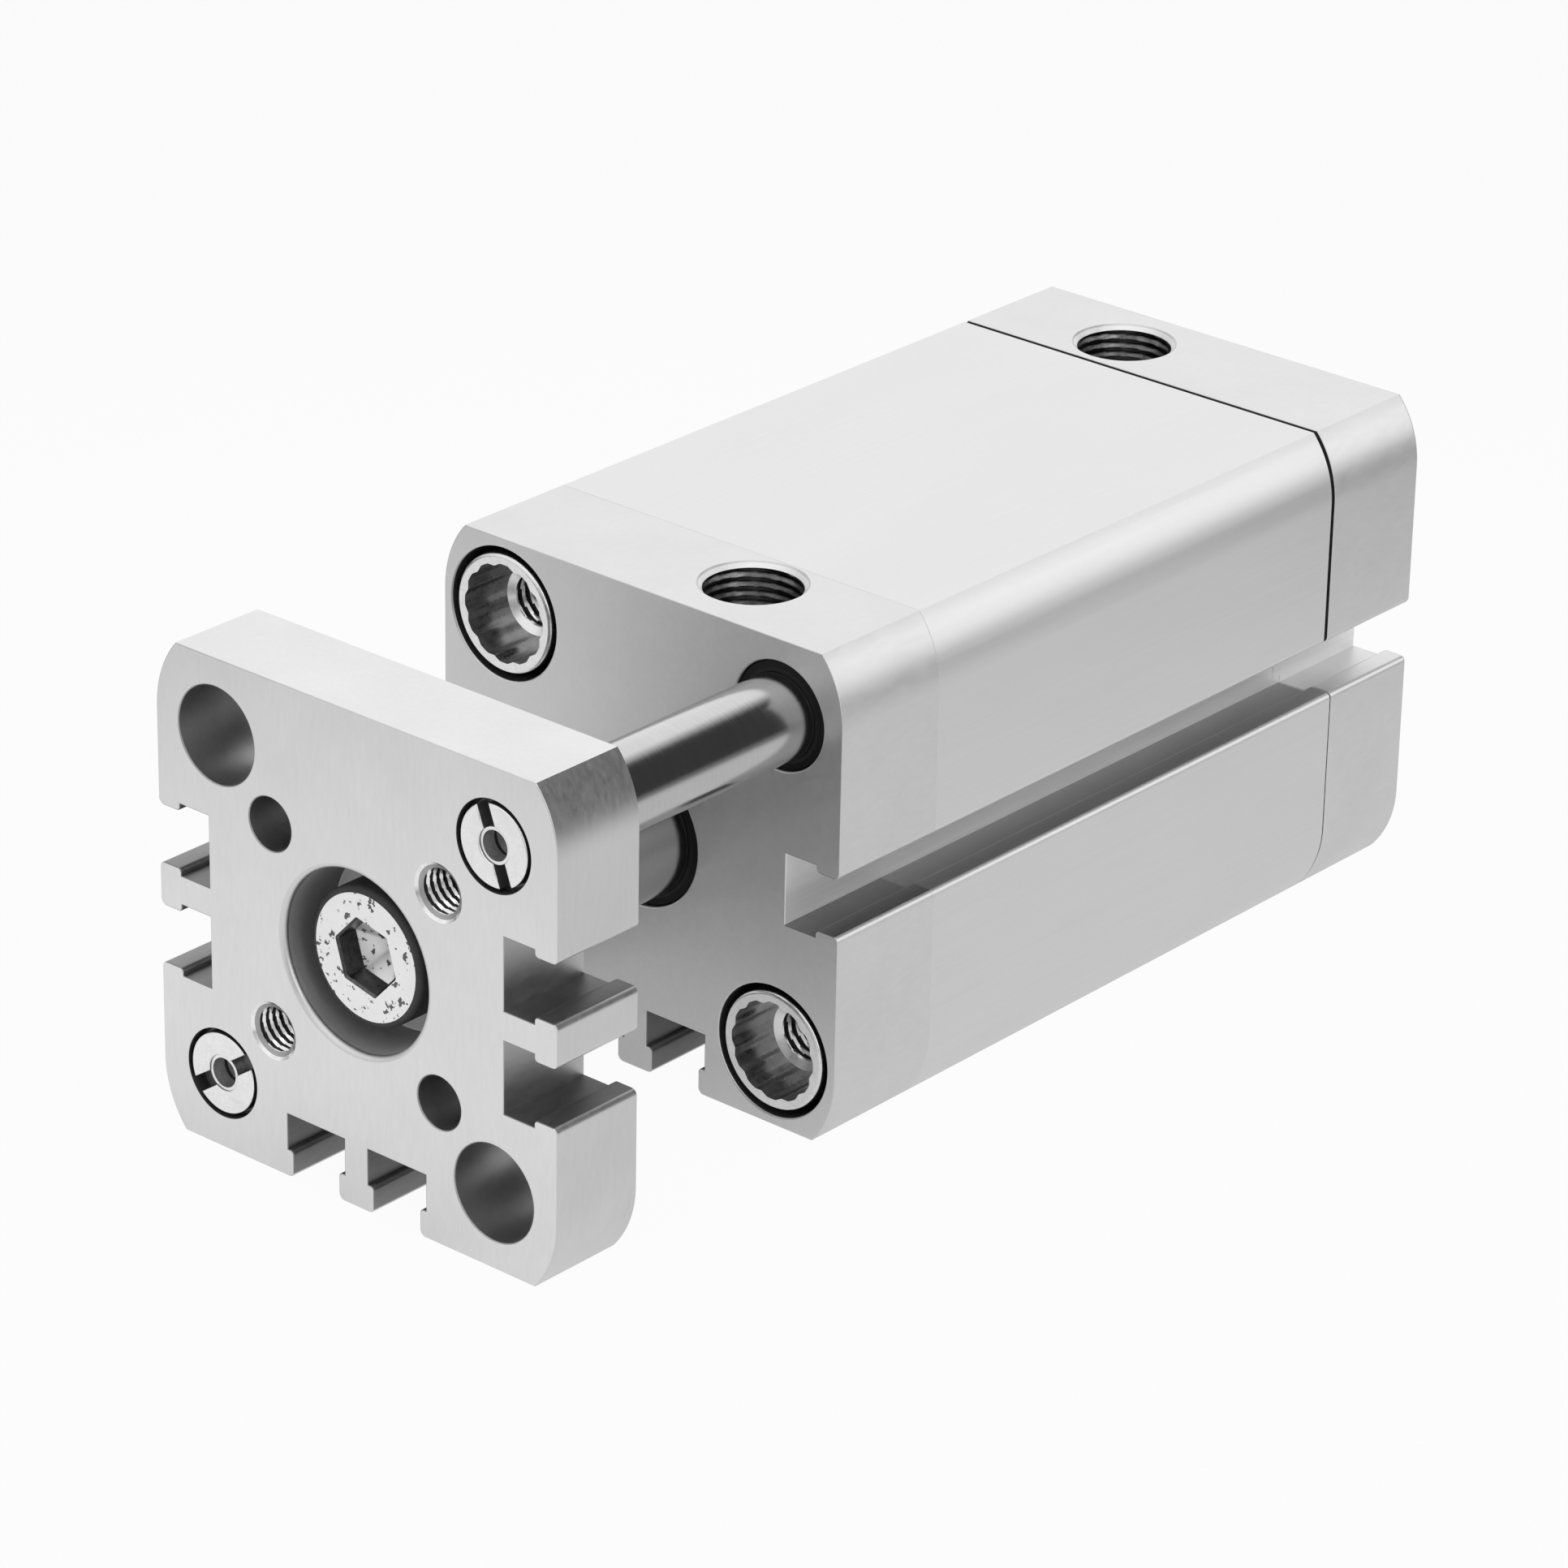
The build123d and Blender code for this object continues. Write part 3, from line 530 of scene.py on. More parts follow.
def sectionLoop(sidePlaces, bottomPlaces, lipRound):
    # Right side from its lower crease to the upper one, the same turned half round, then the bottom slots.
    s = section
    arcX = s["half"] - s["corner"]
    rise = math.sqrt(s["corner"] ** 2 - (s["crease"] - arcX) ** 2)
    arcZ = s["half"] - rise
    creaseAngle = math.degrees(math.asin(rise / s["corner"]))
    guard = np.array([(s["half"], arcZ - s["guard"])])
    slot = slotProfile(lipRound)
    side = [arcPoints((arcX, -arcZ), s["corner"], -creaseAngle, 0, s["cornerSteps"]), guard * (1, -1)]
    side += [slot + (0, place) for place in sidePlaces]
    side += [guard, arcPoints((arcX, arcZ), s["corner"], 0, creaseAngle, s["cornerSteps"])]
    side = np.concatenate(side)
    bottom = [np.column_stack((slot[:, 1] + place, -slot[:, 0])) for place in bottomPlaces]
    return np.concatenate([side, -side] + bottom)


def slotWalls(loop):
    # 0 for the edges of the outside, 1 for the slot walls and 2 for the slot floors:
    # depth = half - max(|x|, |z|), away from the corners.
    size = np.abs(loop)
    depth = section["half"] - size.max(axis=1)
    inside = (depth > section["wallStart"]) & (size.min(axis=1) < section["slotReach"])
    floor = inside & (depth > section["floorStart"])
    ahead = np.roll(inside, -1)
    return np.where(floor & np.roll(floor, -1), 2, (inside | ahead).astype(int))


def wallShades(kinds, loop, stations):
    # Finish of every face of a carried loop, for the outside, the slot walls and the slot floors.
    return np.tile(np.array(kinds)[slotWalls(loop)], len(stations) - 1)


halfSpacing = section["spacing"] / 2
screwOffset = section["screwOffset"]
bodyLoop = sectionLoop([0.0], [-halfSpacing, halfSpacing], section["bodyLipRound"])
yokeLoop = sectionLoop([-halfSpacing, halfSpacing], [-halfSpacing, halfSpacing], section["yokeLipRound"])
screwCorners = [(-screwOffset, screwOffset), (screwOffset, -screwOffset)]
guideCorners = [(screwOffset, screwOffset), (-screwOffset, -screwOffset)]
allCorners = screwCorners + guideCorners


# Yoke plate

yokePlate = {
    "front": -120.0, "rear": -110.0, "edge": 0.08, "holeEdge": 0.12,
    "recess": 8.5, "recessEdge": 0.5, "recessFloor": -113.6, "floorRound": 0.3, "screwHole": 4.2,
    "rodSeat": 6.02, "rodSeatDepth": 1.0,
    "clearHole": 4.55, "guideHole": 4.025, "ring": 4.2, "ringDepth": 1.2, "ringEdge": 0.06,
    "innerRadius": 14.0, "dowel": 2.5, "tappedMouth": 2.74, "mouthEnd": 2.46, "mouthDepth": 0.20,
    "threadStart": 0.44, "thread": {"radius": 2.5, "pitch": 0.8, "height": 0.42, "crestHighlightShare": 0.5},
}
# A face's finish is its number here: bored walls (1), slot walls (2), slot floors (6) and thread roots (5)
# take painted shade, thread crests and mouth rings (3) a painted highlight, the recess wall (7) and the end
# faces (8) painted light.
yokeFinishes = ["yokeMilled", "boredWallPaintedShade", "yokeSlotWallPaintedShade", "threadCrestPaintedHighlight", "seamShade", "threadRootPaintedShade",
                "yokeSlotFloorPaintedShade", "recessWallPaintedLight", "yokeFacePaintedLight"]


def tappedHole(place):
    # Mouth ring with a painted highlight, bored ring with painted shade and thread with painted highlights
    # on its crests and painted shade in its roots, the same from both ends.
    y = yokePlate
    front, rear, start = y["front"], y["rear"], y["threadStart"]
    profile = [(y["tappedMouth"], front), (y["mouthEnd"], front + y["mouthDepth"])]
    profile += threadRows(front + start, rear - start, y["thread"])
    profile += [(y["mouthEnd"], rear - y["mouthDepth"]), (y["tappedMouth"], rear)]
    return threadedHole(profile, place, holeTurns, y["thread"], 3, 5, {0: 3, 1: 1, -2: 1, -1: 3})


def yokeRecess():
    # Recess of the middle screw, its hole and the rod's seat behind it; the upper wall has its own finish, a
    # lighter tone as painted light, and the rest below it takes painted shade.
    y = yokePlate
    recess, floor, small = y["recess"], y["recessFloor"], y["floorRound"]
    seat = y["rear"] - y["rodSeatDepth"]
    edge = mouthRows(recess, y["front"], 1, y["recessEdge"], 4)
    profile = edge + [(recess, floor - small), (recess - 0.3 * small, floor - 0.3 * small)]
    profile += [(recess - small, floor), (y["screwHole"], floor), (y["screwHole"], seat)]
    profile += [(y["rodSeat"], seat), (y["rodSeat"], y["rear"])]
    surface = turnedSurface(profile, (0, 0), wideTurns)
    row = np.arange(len(surface[1])) // wideTurns
    rim = len(edge) - 1
    return (*surface, np.select((row < rim, row <= rim + 1), (0, 7), 1))


def makeYokePlate():
    y = yokePlate
    front, rear, small = y["front"], y["rear"], y["holeEdge"]
    stations = bevelStations(front, 1, y["edge"], 4) + bevelStations(rear, -1, y["edge"], 4)[::-1]
    # The slot walls and floors take painted shade.
    parts = [(*carried(yokeLoop, stations), wallShades((0, 2, 6), yokeLoop, stations))]
    endLoop = yokeLoop - loopOutward(yokeLoop) * y["edge"]
    frontLoops = [endLoop]
    rearLoops = [endLoop]
    inner = y["innerRadius"] * math.sqrt(0.5)
    for corner in screwCorners:
        place = inner * np.sign(corner)
        for centre, radius, turns in ((corner, y["clearHole"], holeTurns), (place, y["dowel"], smallTurns)):
            profile = mouthRows(radius, front, 1, small) + mouthRows(radius, rear, -1, small)[::-1]
            # The plain holes take painted shade.
            parts.append((*turnedSurface(profile, centre, turns), 1))
            for loops in (frontLoops, rearLoops):
                loops.append(circleLoop(centre, radius + small, turns))
    for corner in guideCorners:
        radii = (y["ring"], y["guideHole"])
        profile = boredRows(front, 1, y["ringEdge"], radii, (front + y["ringDepth"], rear), 2)
        parts.append((*turnedSurface(profile, corner), 4))
        frontLoops.append(circleLoop(corner, y["ring"] + y["ringEdge"]))
        rearLoops.append(circleLoop(corner, y["guideHole"]))
        place = inner * np.sign(corner)
        parts.append(tappedHole(place))
        for loops in (frontLoops, rearLoops):
            loops.append(circleLoop(place, y["tappedMouth"]))
    parts.append(yokeRecess())
    frontLoops.append(circleLoop((0, 0), y["recess"] + y["recessEdge"], wideTurns))
    rearLoops.append(circleLoop((0, 0), y["rodSeat"], wideTurns))
    # Both end faces take a lighter copy of the plate's finish, painted light.
    parts.append((*flatFace(frontLoops, front), 8))
    parts.append((*flatFace(rearLoops, rear), 8))
    makePiece("yokePlate", parts, yokeFinishes, slidingBody, "yoke_plate")


makeYokePlate()


# What both caps of the body share: port, front part of the spigot, seats of the screws

port = {
    "mouth": 5.03, "rim": 0.15, "mouthDepth": 0.5, "floor": 15.0,
    "thread": {"radius": 4.70, "pitch": 0.907, "height": 0.17, "crestHighlightShare": 0.3},
}
spigot = {
    # Seal groove, end face and buffer seat, each corner as its inset and its distance from the end
    "radius": 15.96,
    "corners": ((0.0, 2.5), (1.56, 2.5), (1.56, 0.6), (0.0, 0.6), (0.0, 0.0),
                (2.26, 0.0), (2.26, 1.4), (3.96, 1.4), (3.96, 0.0)),
}
# Port thread and floor with painted shade, the joint line, painted shade in the port's thread roots, and slot
# floors and the port's inner band with painted light.
capFinishes = ["portThreadPaintedShade", "seamShade", "hexWallPaintedShade", "slotFloorPaintedLight"]


def portedWalls(surface, shades, loop, row, place):
    # The carried walls without one row's quad of the flat top, the flat round the port in its place, and
    # the port: chamfered mouth with a painted highlight as its inner band, threaded wall and flat floor in
    # painted shade, darkest in the thread's roots.
    points, faces, isRound = surface
    count = len(loop)
    top = section["half"]
    highest = np.isclose(loop[:, 1], top)
    quad = row * count + int(np.flatnonzero(highest & np.roll(highest, -1))[0])
    keep = np.arange(len(faces)) != quad
    corners = points[[quad, quad + count, quad + count + 1, quad + 1]]
    flat = flatFace([corners[:, :2], circleLoop(place, port["mouth"], wideTurns)], top, upright=True)
    profile = [(port["mouth"], top), (port["mouth"] - port["rim"], top - port["rim"])]
    profile += threadRows(top - port["mouthDepth"], port["floor"], port["thread"]) + [(0.0, port["floor"])]
    hole = threadedHole(profile, place, wideTurns, port["thread"], 2, 4, {0: 0, 1: 5}, upright=True)
    return [(points, faces[keep], isRound, shades[keep]), flat, hole]


def screwSeat(cap, centre, face, direction, end):
    # Seat and hole of a cap screw from the cap's outer face to its inner one, and its outlines in both.
    radii = (cap["screwSeat"], cap["screwHole"])
    floor = face + direction * cap["screwSeatDepth"]
    surface = turnedSurface(boredRows(face, direction, cap["holeEdge"], radii, (floor, end)), centre)
    shades = np.where(np.arange(len(surface[1])) < edgeSteps * holeTurns, 0, 3)
    return (*surface, shades), circleLoop(centre, radii[0] + cap["holeEdge"]), circleLoop(centre, radii[1])


# Front cap of the body, with the bearings

bearingCap = {
    "front": -84.0, "rear": -71.0, "spigotEnd": -68.0, "edge": 0.08, "holeEdge": 0.15,
    "portPlace": (6.4, -76.2), "screwSeat": 6.35, "screwSeatDepth": 5.0, "screwHole": 4.6,
    "guidePocket": 5.1, "guidePocketDepth": 2.6, "guideClear": 4.3, "guideLand": 0.4, "guideBush": 4.6,
    "rodPocket": 7.1, "rodPocketDepth": 2.9, "rodClear": 6.3, "bush": 7.0, "bushStart": 3.3,
    "bushEnd": 10.3, "bufferBore": 8.0, "bufferStart": 11.0, "hairline": 0.04,
}


def rodBore():
    # Through the wiper's pocket, the bush's room and the buffer's bore, then round the end of the spigot.
    c = bearingCap
    front, end, radius = c["front"], c["spigotEnd"], spigot["radius"]
    radii = (c["rodPocket"], c["rodClear"], c["bush"], c["rodClear"], c["bufferBore"])
    depths = (c["rodPocketDepth"], c["bushStart"], c["bushEnd"], c["bufferStart"])
    profile = boredRows(front, 1, c["holeEdge"], radii, [front + depth for depth in depths] + [end])
    profile += [(radius - inset, end - away) for inset, away in spigot["corners"][::-1]]
    return turnedSurface(profile + [(radius, c["rear"])], (0, 0), wideTurns)


def makeBearingCap():
    c = bearingCap
    front, rear, hair = c["front"], c["rear"], c["hairline"]
    stations = bevelStations(front, 1, c["edge"], 4) + [(rear - hair, 0.0), (rear, hair)]
    # The slot walls take painted shade and the slot floors painted light.
    shades = wallShades((0, 1, 5), bodyLoop, stations)
    parts = portedWalls(carried(bodyLoop, stations), shades, bodyLoop, len(stations) - 3, c["portPlace"])
    outward = loopOutward(bodyLoop)
    frontLoops = [bodyLoop - outward * c["edge"]]
    rearLoops = [bodyLoop - outward * hair]
    for centre in screwCorners:
        seat, mouth, hole = screwSeat(c, centre, front, 1, rear)
        parts.append(seat)
        frontLoops.append(mouth)
        rearLoops.append(hole)
    for centre in guideCorners:
        floor = front + c["guidePocketDepth"]
        radii = (c["guidePocket"], c["guideClear"], c["guideBush"])
        levels = (floor, floor + c["guideLand"], rear)
        parts.append(turnedSurface(boredRows(front, 1, c["holeEdge"], radii, levels), centre))
        frontLoops.append(circleLoop(centre, c["guidePocket"] + c["holeEdge"]))
        rearLoops.append(circleLoop(centre, c["guideBush"]))
    parts.append(rodBore())
    frontLoops.append(circleLoop((0, 0), c["rodPocket"] + c["holeEdge"], wideTurns))
    rearLoops.append(circleLoop((0, 0), spigot["radius"], wideTurns))
    parts.append(flatFace(frontLoops, front))
    parts.append(flatFace(rearLoops, rear))
    names = ["capAnodised", "capSlotWallPaintedShade"] + capFinishes
    return makePiece("bearingCap", parts, names, fixedBody, "bearing_cap")


bearingCapPiece = makeBearingCap()


# Slotted barrel, which ends in a step at the rear

barrel = {
    "front": -71.0, "rear": -13.7, "lowRear": -12.2, "stepLevel": -2.75, "guard": 0.4,
    "bore": 16.0, "thread": 4.525, "channel": 5.0, "channelEnd": -20.5, "hairline": 0.04,
}


def makeBarrel():
    b = barrel
    front, upper, lower, level = b["front"], b["rear"], b["lowRear"], b["stepLevel"]
    hair, guard = b["hairline"], b["guard"]
    loop, outward, above = steppedLoop(bodyLoop, level)
    rear = np.where(above, upper, lower)
    stations = [(front, hair), (front + hair, 0.0), (front + guard, 0.0), (rear - guard, 0.0), (rear, 0.0)]
    # The slot walls take painted shade and the slot floors painted light.
    parts = [(*carried(loop, stations, outward), wallShades((0, 1, 2), loop, stations))]
    bore, boreOutward, boreAbove = steppedLoop(circleLoop((0, 0), b["bore"], wideTurns), level)
    parts.append(carried(bore, [(front, 0.0), (np.where(boreAbove, upper, lower), 0.0)], boreOutward))
    frontLoops = [singled(loop - outward * hair, loop), singled(bore, bore)]
    holes = []
    for x, z in allCorners:
        profile = [(b["thread"], front), (b["thread"], upper if z > 0 else lower)]
        if (x, z) in guideCorners:
            wide, end = b["channel"], b["channelEnd"]
            profile[:1] = [(wide, front), (wide, end), (b["thread"], end)]
        parts.append(turnedSurface(profile, (x, z)))
        frontLoops.append(circleLoop((x, z), profile[0][0]))
        holes.append(circleLoop((x, z), b["thread"]))
    parts.append(flatFace(frontLoops, front))
    parts += steppedFaces(loop, above, bore, boreAbove, upper, lower, holes)
    names = ["barrelAnodised", "slotWallPaintedShade", "slotFloorPaintedLight"]
    return makePiece("cylinderBarrel", parts, names, fixedBody, "cylinder_barrel")


barrelPiece = makeBarrel()


# Rear cap, with a dark joint line above the step

endCap = {
    "rear": 0.0, "edge": 0.25, "holeEdge": 0.15, "spigotEnd": -16.7, "seamWidth": 0.55, "seamDepth": 0.45,
    "lowWidth": 0.20, "lowDepth": 0.24, "hairline": 0.05, "guard": 0.4,
    "portPlace": (-6.4, -7.3), "screwSeat": 5.2, "screwSeatDepth": 5.0, "screwHole": 4.6,
}


def makeEndCap():
    c = endCap
    upper, lower, level = barrel["rear"], barrel["lowRear"], barrel["stepLevel"]
    rear, hair = c["rear"], c["hairline"]
    loop, outward, above = steppedLoop(bodyLoop, level)
    front = np.where(above, upper, lower)
    seam = np.where(above, upper + c["seamWidth"], lower + c["lowWidth"])
    inSlot = slotWalls(loop) > 0
    depth = np.where(above, c["seamDepth"], c["lowDepth"])
    depth = np.where(inSlot | np.roll(inSlot, 1), hair, depth)
    stations = [(front, depth), (seam, depth), (seam, hair), (seam + hair, 0.0), (seam + c["guard"], 0.0)]
    stations += bevelStations(rear, -1, c["edge"], 4)[::-1]
    # The end cap's slot floors take painted light.
    shades = wallShades((0, 1, 5), loop, stations)
    inSeam = np.arange(len(shades)) < 2 * len(loop)
    shades = np.where(inSeam & (shades == 0), 3, shades)
    parts = portedWalls(carried(loop, stations, outward), shades, loop, 4, c["portPlace"])
    end, radius = c["spigotEnd"], spigot["radius"]
    ring, ringOutward, ringAbove = steppedLoop(circleLoop((0, 0), radius, wideTurns), level)
    stations = [(np.where(ringAbove, upper, lower), 0.0)]
    stations += [(end + away, inset) for inset, away in spigot["corners"]] + [(end, radius)]
    parts.append(carried(ring, stations, ringOutward))
    holes = []
    rearLoops = [singled(loop - outward * c["edge"], loop)]
    for x, z in allCorners:
        seat, mouth, hole = screwSeat(c, (x, z), rear, -1, upper if z > 0 else lower)
        parts.append(seat)
        rearLoops.append(mouth)
        holes.append(hole)
    parts.append(flatFace(rearLoops, rear))
    parts += steppedFaces(loop - outward * depth[:, None], above, ring, ringAbove, upper, lower, holes)
    names = ["endCapAnodised", "endCapAnodised"] + capFinishes
    return makePiece("endCap", parts, names, fixedBody, "end_cap")


endCapPiece = makeEndCap()


# Cap screws with a twelve-point socket and a thread inside

collarScrew = {
    "headHeight": 4.98, "shank": 4.5, "shankBevel": 0.4, "edge": 0.35, "socket": 8.7, "cornerRadius": 4.76,
    "socketDepth": 4.0, "threadMouth": 0.3, "threadEnd": 15.0,
    "thread": {"radius": 3.0, "pitch": 1.0, "height": 0.5, "crestHighlightShare": 0.5},
    "front": {"face": -84.0, "direction": 1, "head": 5.7, "length": 24.0, "socketScale": 1.0},
    "rear": {"face": 0.0, "direction": -1, "head": 5.0, "length": 19.0, "socketScale": 0.91},
}
sixth = math.pi / 3  # of a turn


def starLoop(centre, across, cornerRadius):
    # Two hexagons turned by 30 degrees with cut corners: across / 2 / cos(angle to the farther flat), cut.
    angles = fullTurn(screwTurns)
    flatOne = np.mod(angles + sixth / 2, sixth) - sixth / 2
    flatTwo = np.mod(angles, sixth) - sixth / 2
    radius = across / 2 / np.cos(np.maximum(np.abs(flatOne), np.abs(flatTwo)))
    return circleLoop(centre, np.minimum(radius, cornerRadius), screwTurns)


def screwParts(end, centre):
    # Head and shank from the face inwards, then the socket, with painted shade on its walls and a painted
    # highlight on its floor, and the threaded hole under it, with painted highlights on the crests and its
    # mouth and painted shade in the roots.
    c = collarScrew
    face, direction, head, scale = end["face"], end["direction"], end["head"], end["socketScale"]
    mouth = c["thread"]["radius"] + c["threadMouth"]
    shank = c["shank"]

    def at(distance):
        return face + direction * distance

    under, tip, floor, last = at(c["headHeight"]), at(end["length"]), at(c["socketDepth"]), at(c["threadEnd"])
    star = starLoop(centre, c["socket"] * scale, c["cornerRadius"] * scale)
    profile = [(head - inset, y) for y, inset in bevelStations(face, direction, c["edge"], 4)]
    profile += [(head, under), (shank, under), (shank, at(end["length"] - c["shankBevel"]))]
    profile += [(shank - c["shankBevel"], tip), (0.0, tip)]
    rows = threadRows(at(c["socketDepth"] + c["threadMouth"]), last, c["thread"], 10)
    hole = [(mouth, floor)] + rows + [(0.0, last)]
    return [
        turnedSurface(profile, centre, screwTurns),
        flatFace([circleLoop(centre, head - c["edge"], screwTurns), star], face),
        (*carried(star, [(face, 0.0), (floor, 0.0)]), 1),
        (*flatFace([star, circleLoop(centre, mouth, screwTurns)], floor), 2),
        threadedHole(hole, centre, screwTurns, c["thread"], 2, 3, {0: 2}),
    ]


def makeCapScrews(name, node, end, places):
    parts = []
    for centre in places:
        parts += screwParts(end, centre)
    names = ["screwPlated", "socketWallPaintedShade", "threadCrestPaintedHighlight", "threadRootPaintedShade"]
    makePiece(name, parts, names, fixedBody, node)


makeCapScrews("frontCapScrews", "front_collar_screws", collarScrew["front"], screwCorners)
makeCapScrews("rearCapScrews", "rear_collar_screws", collarScrew["rear"], allCorners)


# Screw in the middle of the yoke plate

yokeScrew = {
    "top": -118.62, "seat": -113.62, "head": 6.5, "edge": 0.6, "hexagon": 6.0, "hexTurn": 17.0,
    "hexMouth": 1.07, "mouthDepth": 0.22, "socketDepth": 2.3, "drillDepth": 1.6,
    "shank": 3.975, "shankBevel": 0.8, "end": -91.62,
}


def hexLoop(across, turn):
    # Regular hexagon: across / 2 / cos(angle from the nearest flat).
    fromFlat = np.mod(fullTurn(screwTurns) - math.radians(turn) + sixth / 2, sixth) - sixth / 2
    return circleLoop((0, 0), across / 2 / np.cos(fromFlat), screwTurns)


def makeYokeScrew():
    s = yokeScrew
    top, seat, end, shank, bevel = s["top"], s["seat"], s["end"], s["shank"], s["shankBevel"]
    floor = top + s["socketDepth"]
    hexagon = hexLoop(s["hexagon"], s["hexTurn"])
    wide = hexagon * s["hexMouth"]
    profile = [(s["head"] - inset, y) for y, inset in bevelStations(top, 1, s["edge"], 6)]
    profile += [(s["head"], seat), (shank, seat), (shank, end - bevel), (shank - bevel, end), (0.0, end)]
    rim = circleLoop((0, 0), s["head"] - s["edge"], screwTurns)
    parts = [
        (*turnedSurface(profile, (0, 0), screwTurns), 2),
        (*flatFace([rim, wide], top), 0),
        # The hexagon's walls take painted shade; the drilled floor takes the head's plating.
        (*layered([(wide, top), (hexagon, top + s["mouthDepth"]), (hexagon, floor)]), 1),
        (*layered([(hexagon, floor), (np.zeros_like(hexagon), floor + s["drillDepth"])]), 0),
    ]
    makePiece("yokeScrew", parts, ["screwHeadPlated", "hexWallPaintedShade", "seamShade"], slidingBody, "yoke_screw")


makeYokeScrew()


# Piston rod and guide rods

rods = {
    "piston": 6.0, "pistonStart": -110.98, "pistonBevel": 0.4, "pistonShoulder": -47.72,
    "spigot": 4.0, "spigotEnd": -40.4, "frontHole": 4.0, "frontHoleEnd": -88.0,
    "rearHole": 2.5, "rearHoleStart": -52.4,
    "guide": 4.0, "guideFront": -120.0, "face": 3.8, "slotWidth": 1.4, "slotDepth": 1.3,
    "centre": 1.7, "centreDepth": 2.2, "faceEdge": 0.12, "rimSteps": 40, "centreSteps": 20,
    "highlightRingWidth": 0.3, "highlightRingGap": 0.02, "highlightRingReach": (0.2, 1.6),
    "neckStart": -49.0, "neck": 3.2, "clipStart": -42.96, "clipEnd": -42.26, "clipFloor": 2.7,
    "guideEnd": -42.0, "endBevel": 0.1, "upperSlotTurn": 110.5, "lowerSlotTurn": 34.5,
}


def makePistonRod():
    r = rods
    start, rod, bevel, hole = r["pistonStart"], r["piston"], r["pistonBevel"], r["frontHole"]
    profile = [
        (hole, start), (rod - bevel, start), (rod, start + bevel), (rod, r["pistonShoulder"]),
        (r["spigot"], r["pistonShoulder"]), (r["spigot"], r["spigotEnd"]),
        (r["rearHole"], r["spigotEnd"]), (r["rearHole"], r["rearHoleStart"]), (0.0, r["rearHoleStart"]),
    ]
    inside = [(hole, start), (hole, r["frontHoleEnd"]), (0.0, r["frontHoleEnd"])]
    parts = [turnedSurface(profile, turns=wideTurns), turnedSurface(inside, turns=wideTurns)]
    # The piston rod takes the rods' steel in a darker tone, painted shade.
    makePiece("pistonRod", parts, ["pistonRodPaintedShade"], slidingBody, "piston_rod")


def studHalf(sign):
    # One side of the slotted end: rim arc, slot edge, arc of the centre hole, slot edge.
    r = rods
    half = r["slotWidth"] / 2
    rimAngle, holeAngle = [math.degrees(math.asin(half / radius)) for radius in (r["face"], r["centre"])]
    rim = arcPoints((0, 0), r["face"], rimAngle, 180 - rimAngle, r["rimSteps"])
    hole = arcPoints((0, 0), r["centre"], 180 - holeAngle, holeAngle, r["centreSteps"])
    return np.concatenate((rim, hole)) * sign


def makeGuideRod(name, node, centre, slotTurn):
    r = rods
    front, hole, neck = r["guideFront"], r["centre"], r["neck"]
    floor = front + r["slotDepth"]
    turn = math.radians(slotTurn)
    turning = np.array(((math.cos(turn), math.sin(turn)), (-math.sin(turn), math.cos(turn))))
    parts = []
    for sign in (1, -1):
        half = studHalf(sign) @ turning + centre
        surface = carried(half, bevelStations(front, 1, r["faceEdge"], edgeSteps) + [(floor, 0.0)])
        rim = edgeSteps * len(half)
        # The rim and end face take a painted highlight and the slot walls painted shade.
        parts.append((*surface, np.where(np.arange(len(surface[1])) < rim, 1, 2)))
        parts.append((*flatFace([half - loopOutward(half) * r["faceEdge"]], front), 1))
        parts.append((*flatFace([half], floor), 2))
    profile = [
        (0.0, front + r["centreDepth"] + hole), (hole, front + r["centreDepth"]), (hole, floor),
        (r["guide"], floor), (r["guide"], r["neckStart"]), (neck, r["neckStart"]), (neck, r["clipStart"]),
        (r["clipFloor"], r["clipStart"]), (r["clipFloor"], r["clipEnd"]), (neck, r["clipEnd"]),
        (neck, r["guideEnd"] - r["endBevel"]), (neck - r["endBevel"], r["guideEnd"]), (0.0, r["guideEnd"]),
    ]
    surface = turnedSurface(profile, centre, wideTurns)
    row = np.arange(len(surface[1])) // wideTurns
    # The centre hole takes painted shade.
    parts.append((*surface, np.where(row < 3, 2, 0)))
    # A thin ring inside the centre hole carries a painted highlight.
    inner, outer = hole - r["highlightRingWidth"], hole - r["highlightRingGap"]
    start, end = [front + at for at in r["highlightRingReach"]]
    ring = [(inner, start), (outer, start), (outer, end), (inner, end), (inner, start)]
    parts.append((*turnedSurface(ring, centre, smallTurns), 1))
    makePiece(name, parts, ["rodGround", "studFacePaintedHighlight", "capSlotWallPaintedShade"], slidingBody, node)


makePistonRod()
makeGuideRod("guideRodUpper", "guide_rod_upper", guideCorners[0], rods["upperSlotTurn"])
makeGuideRod("guideRodLower", "guide_rod_lower", guideCorners[1], rods["lowerSlotTurn"])


# Wiper rings round the rods

wiper = {
    "gap": 0.03, "recess": 0.25, "lipRise": 0.15, "lip": 0.35, "throat": 0.9, "back": 0.5, "bevel": 0.12,
    "pistonOuter": 7.08, "pistonEnd": 2.88, "guideOuter": 5.08, "guideEnd": 2.58,
}


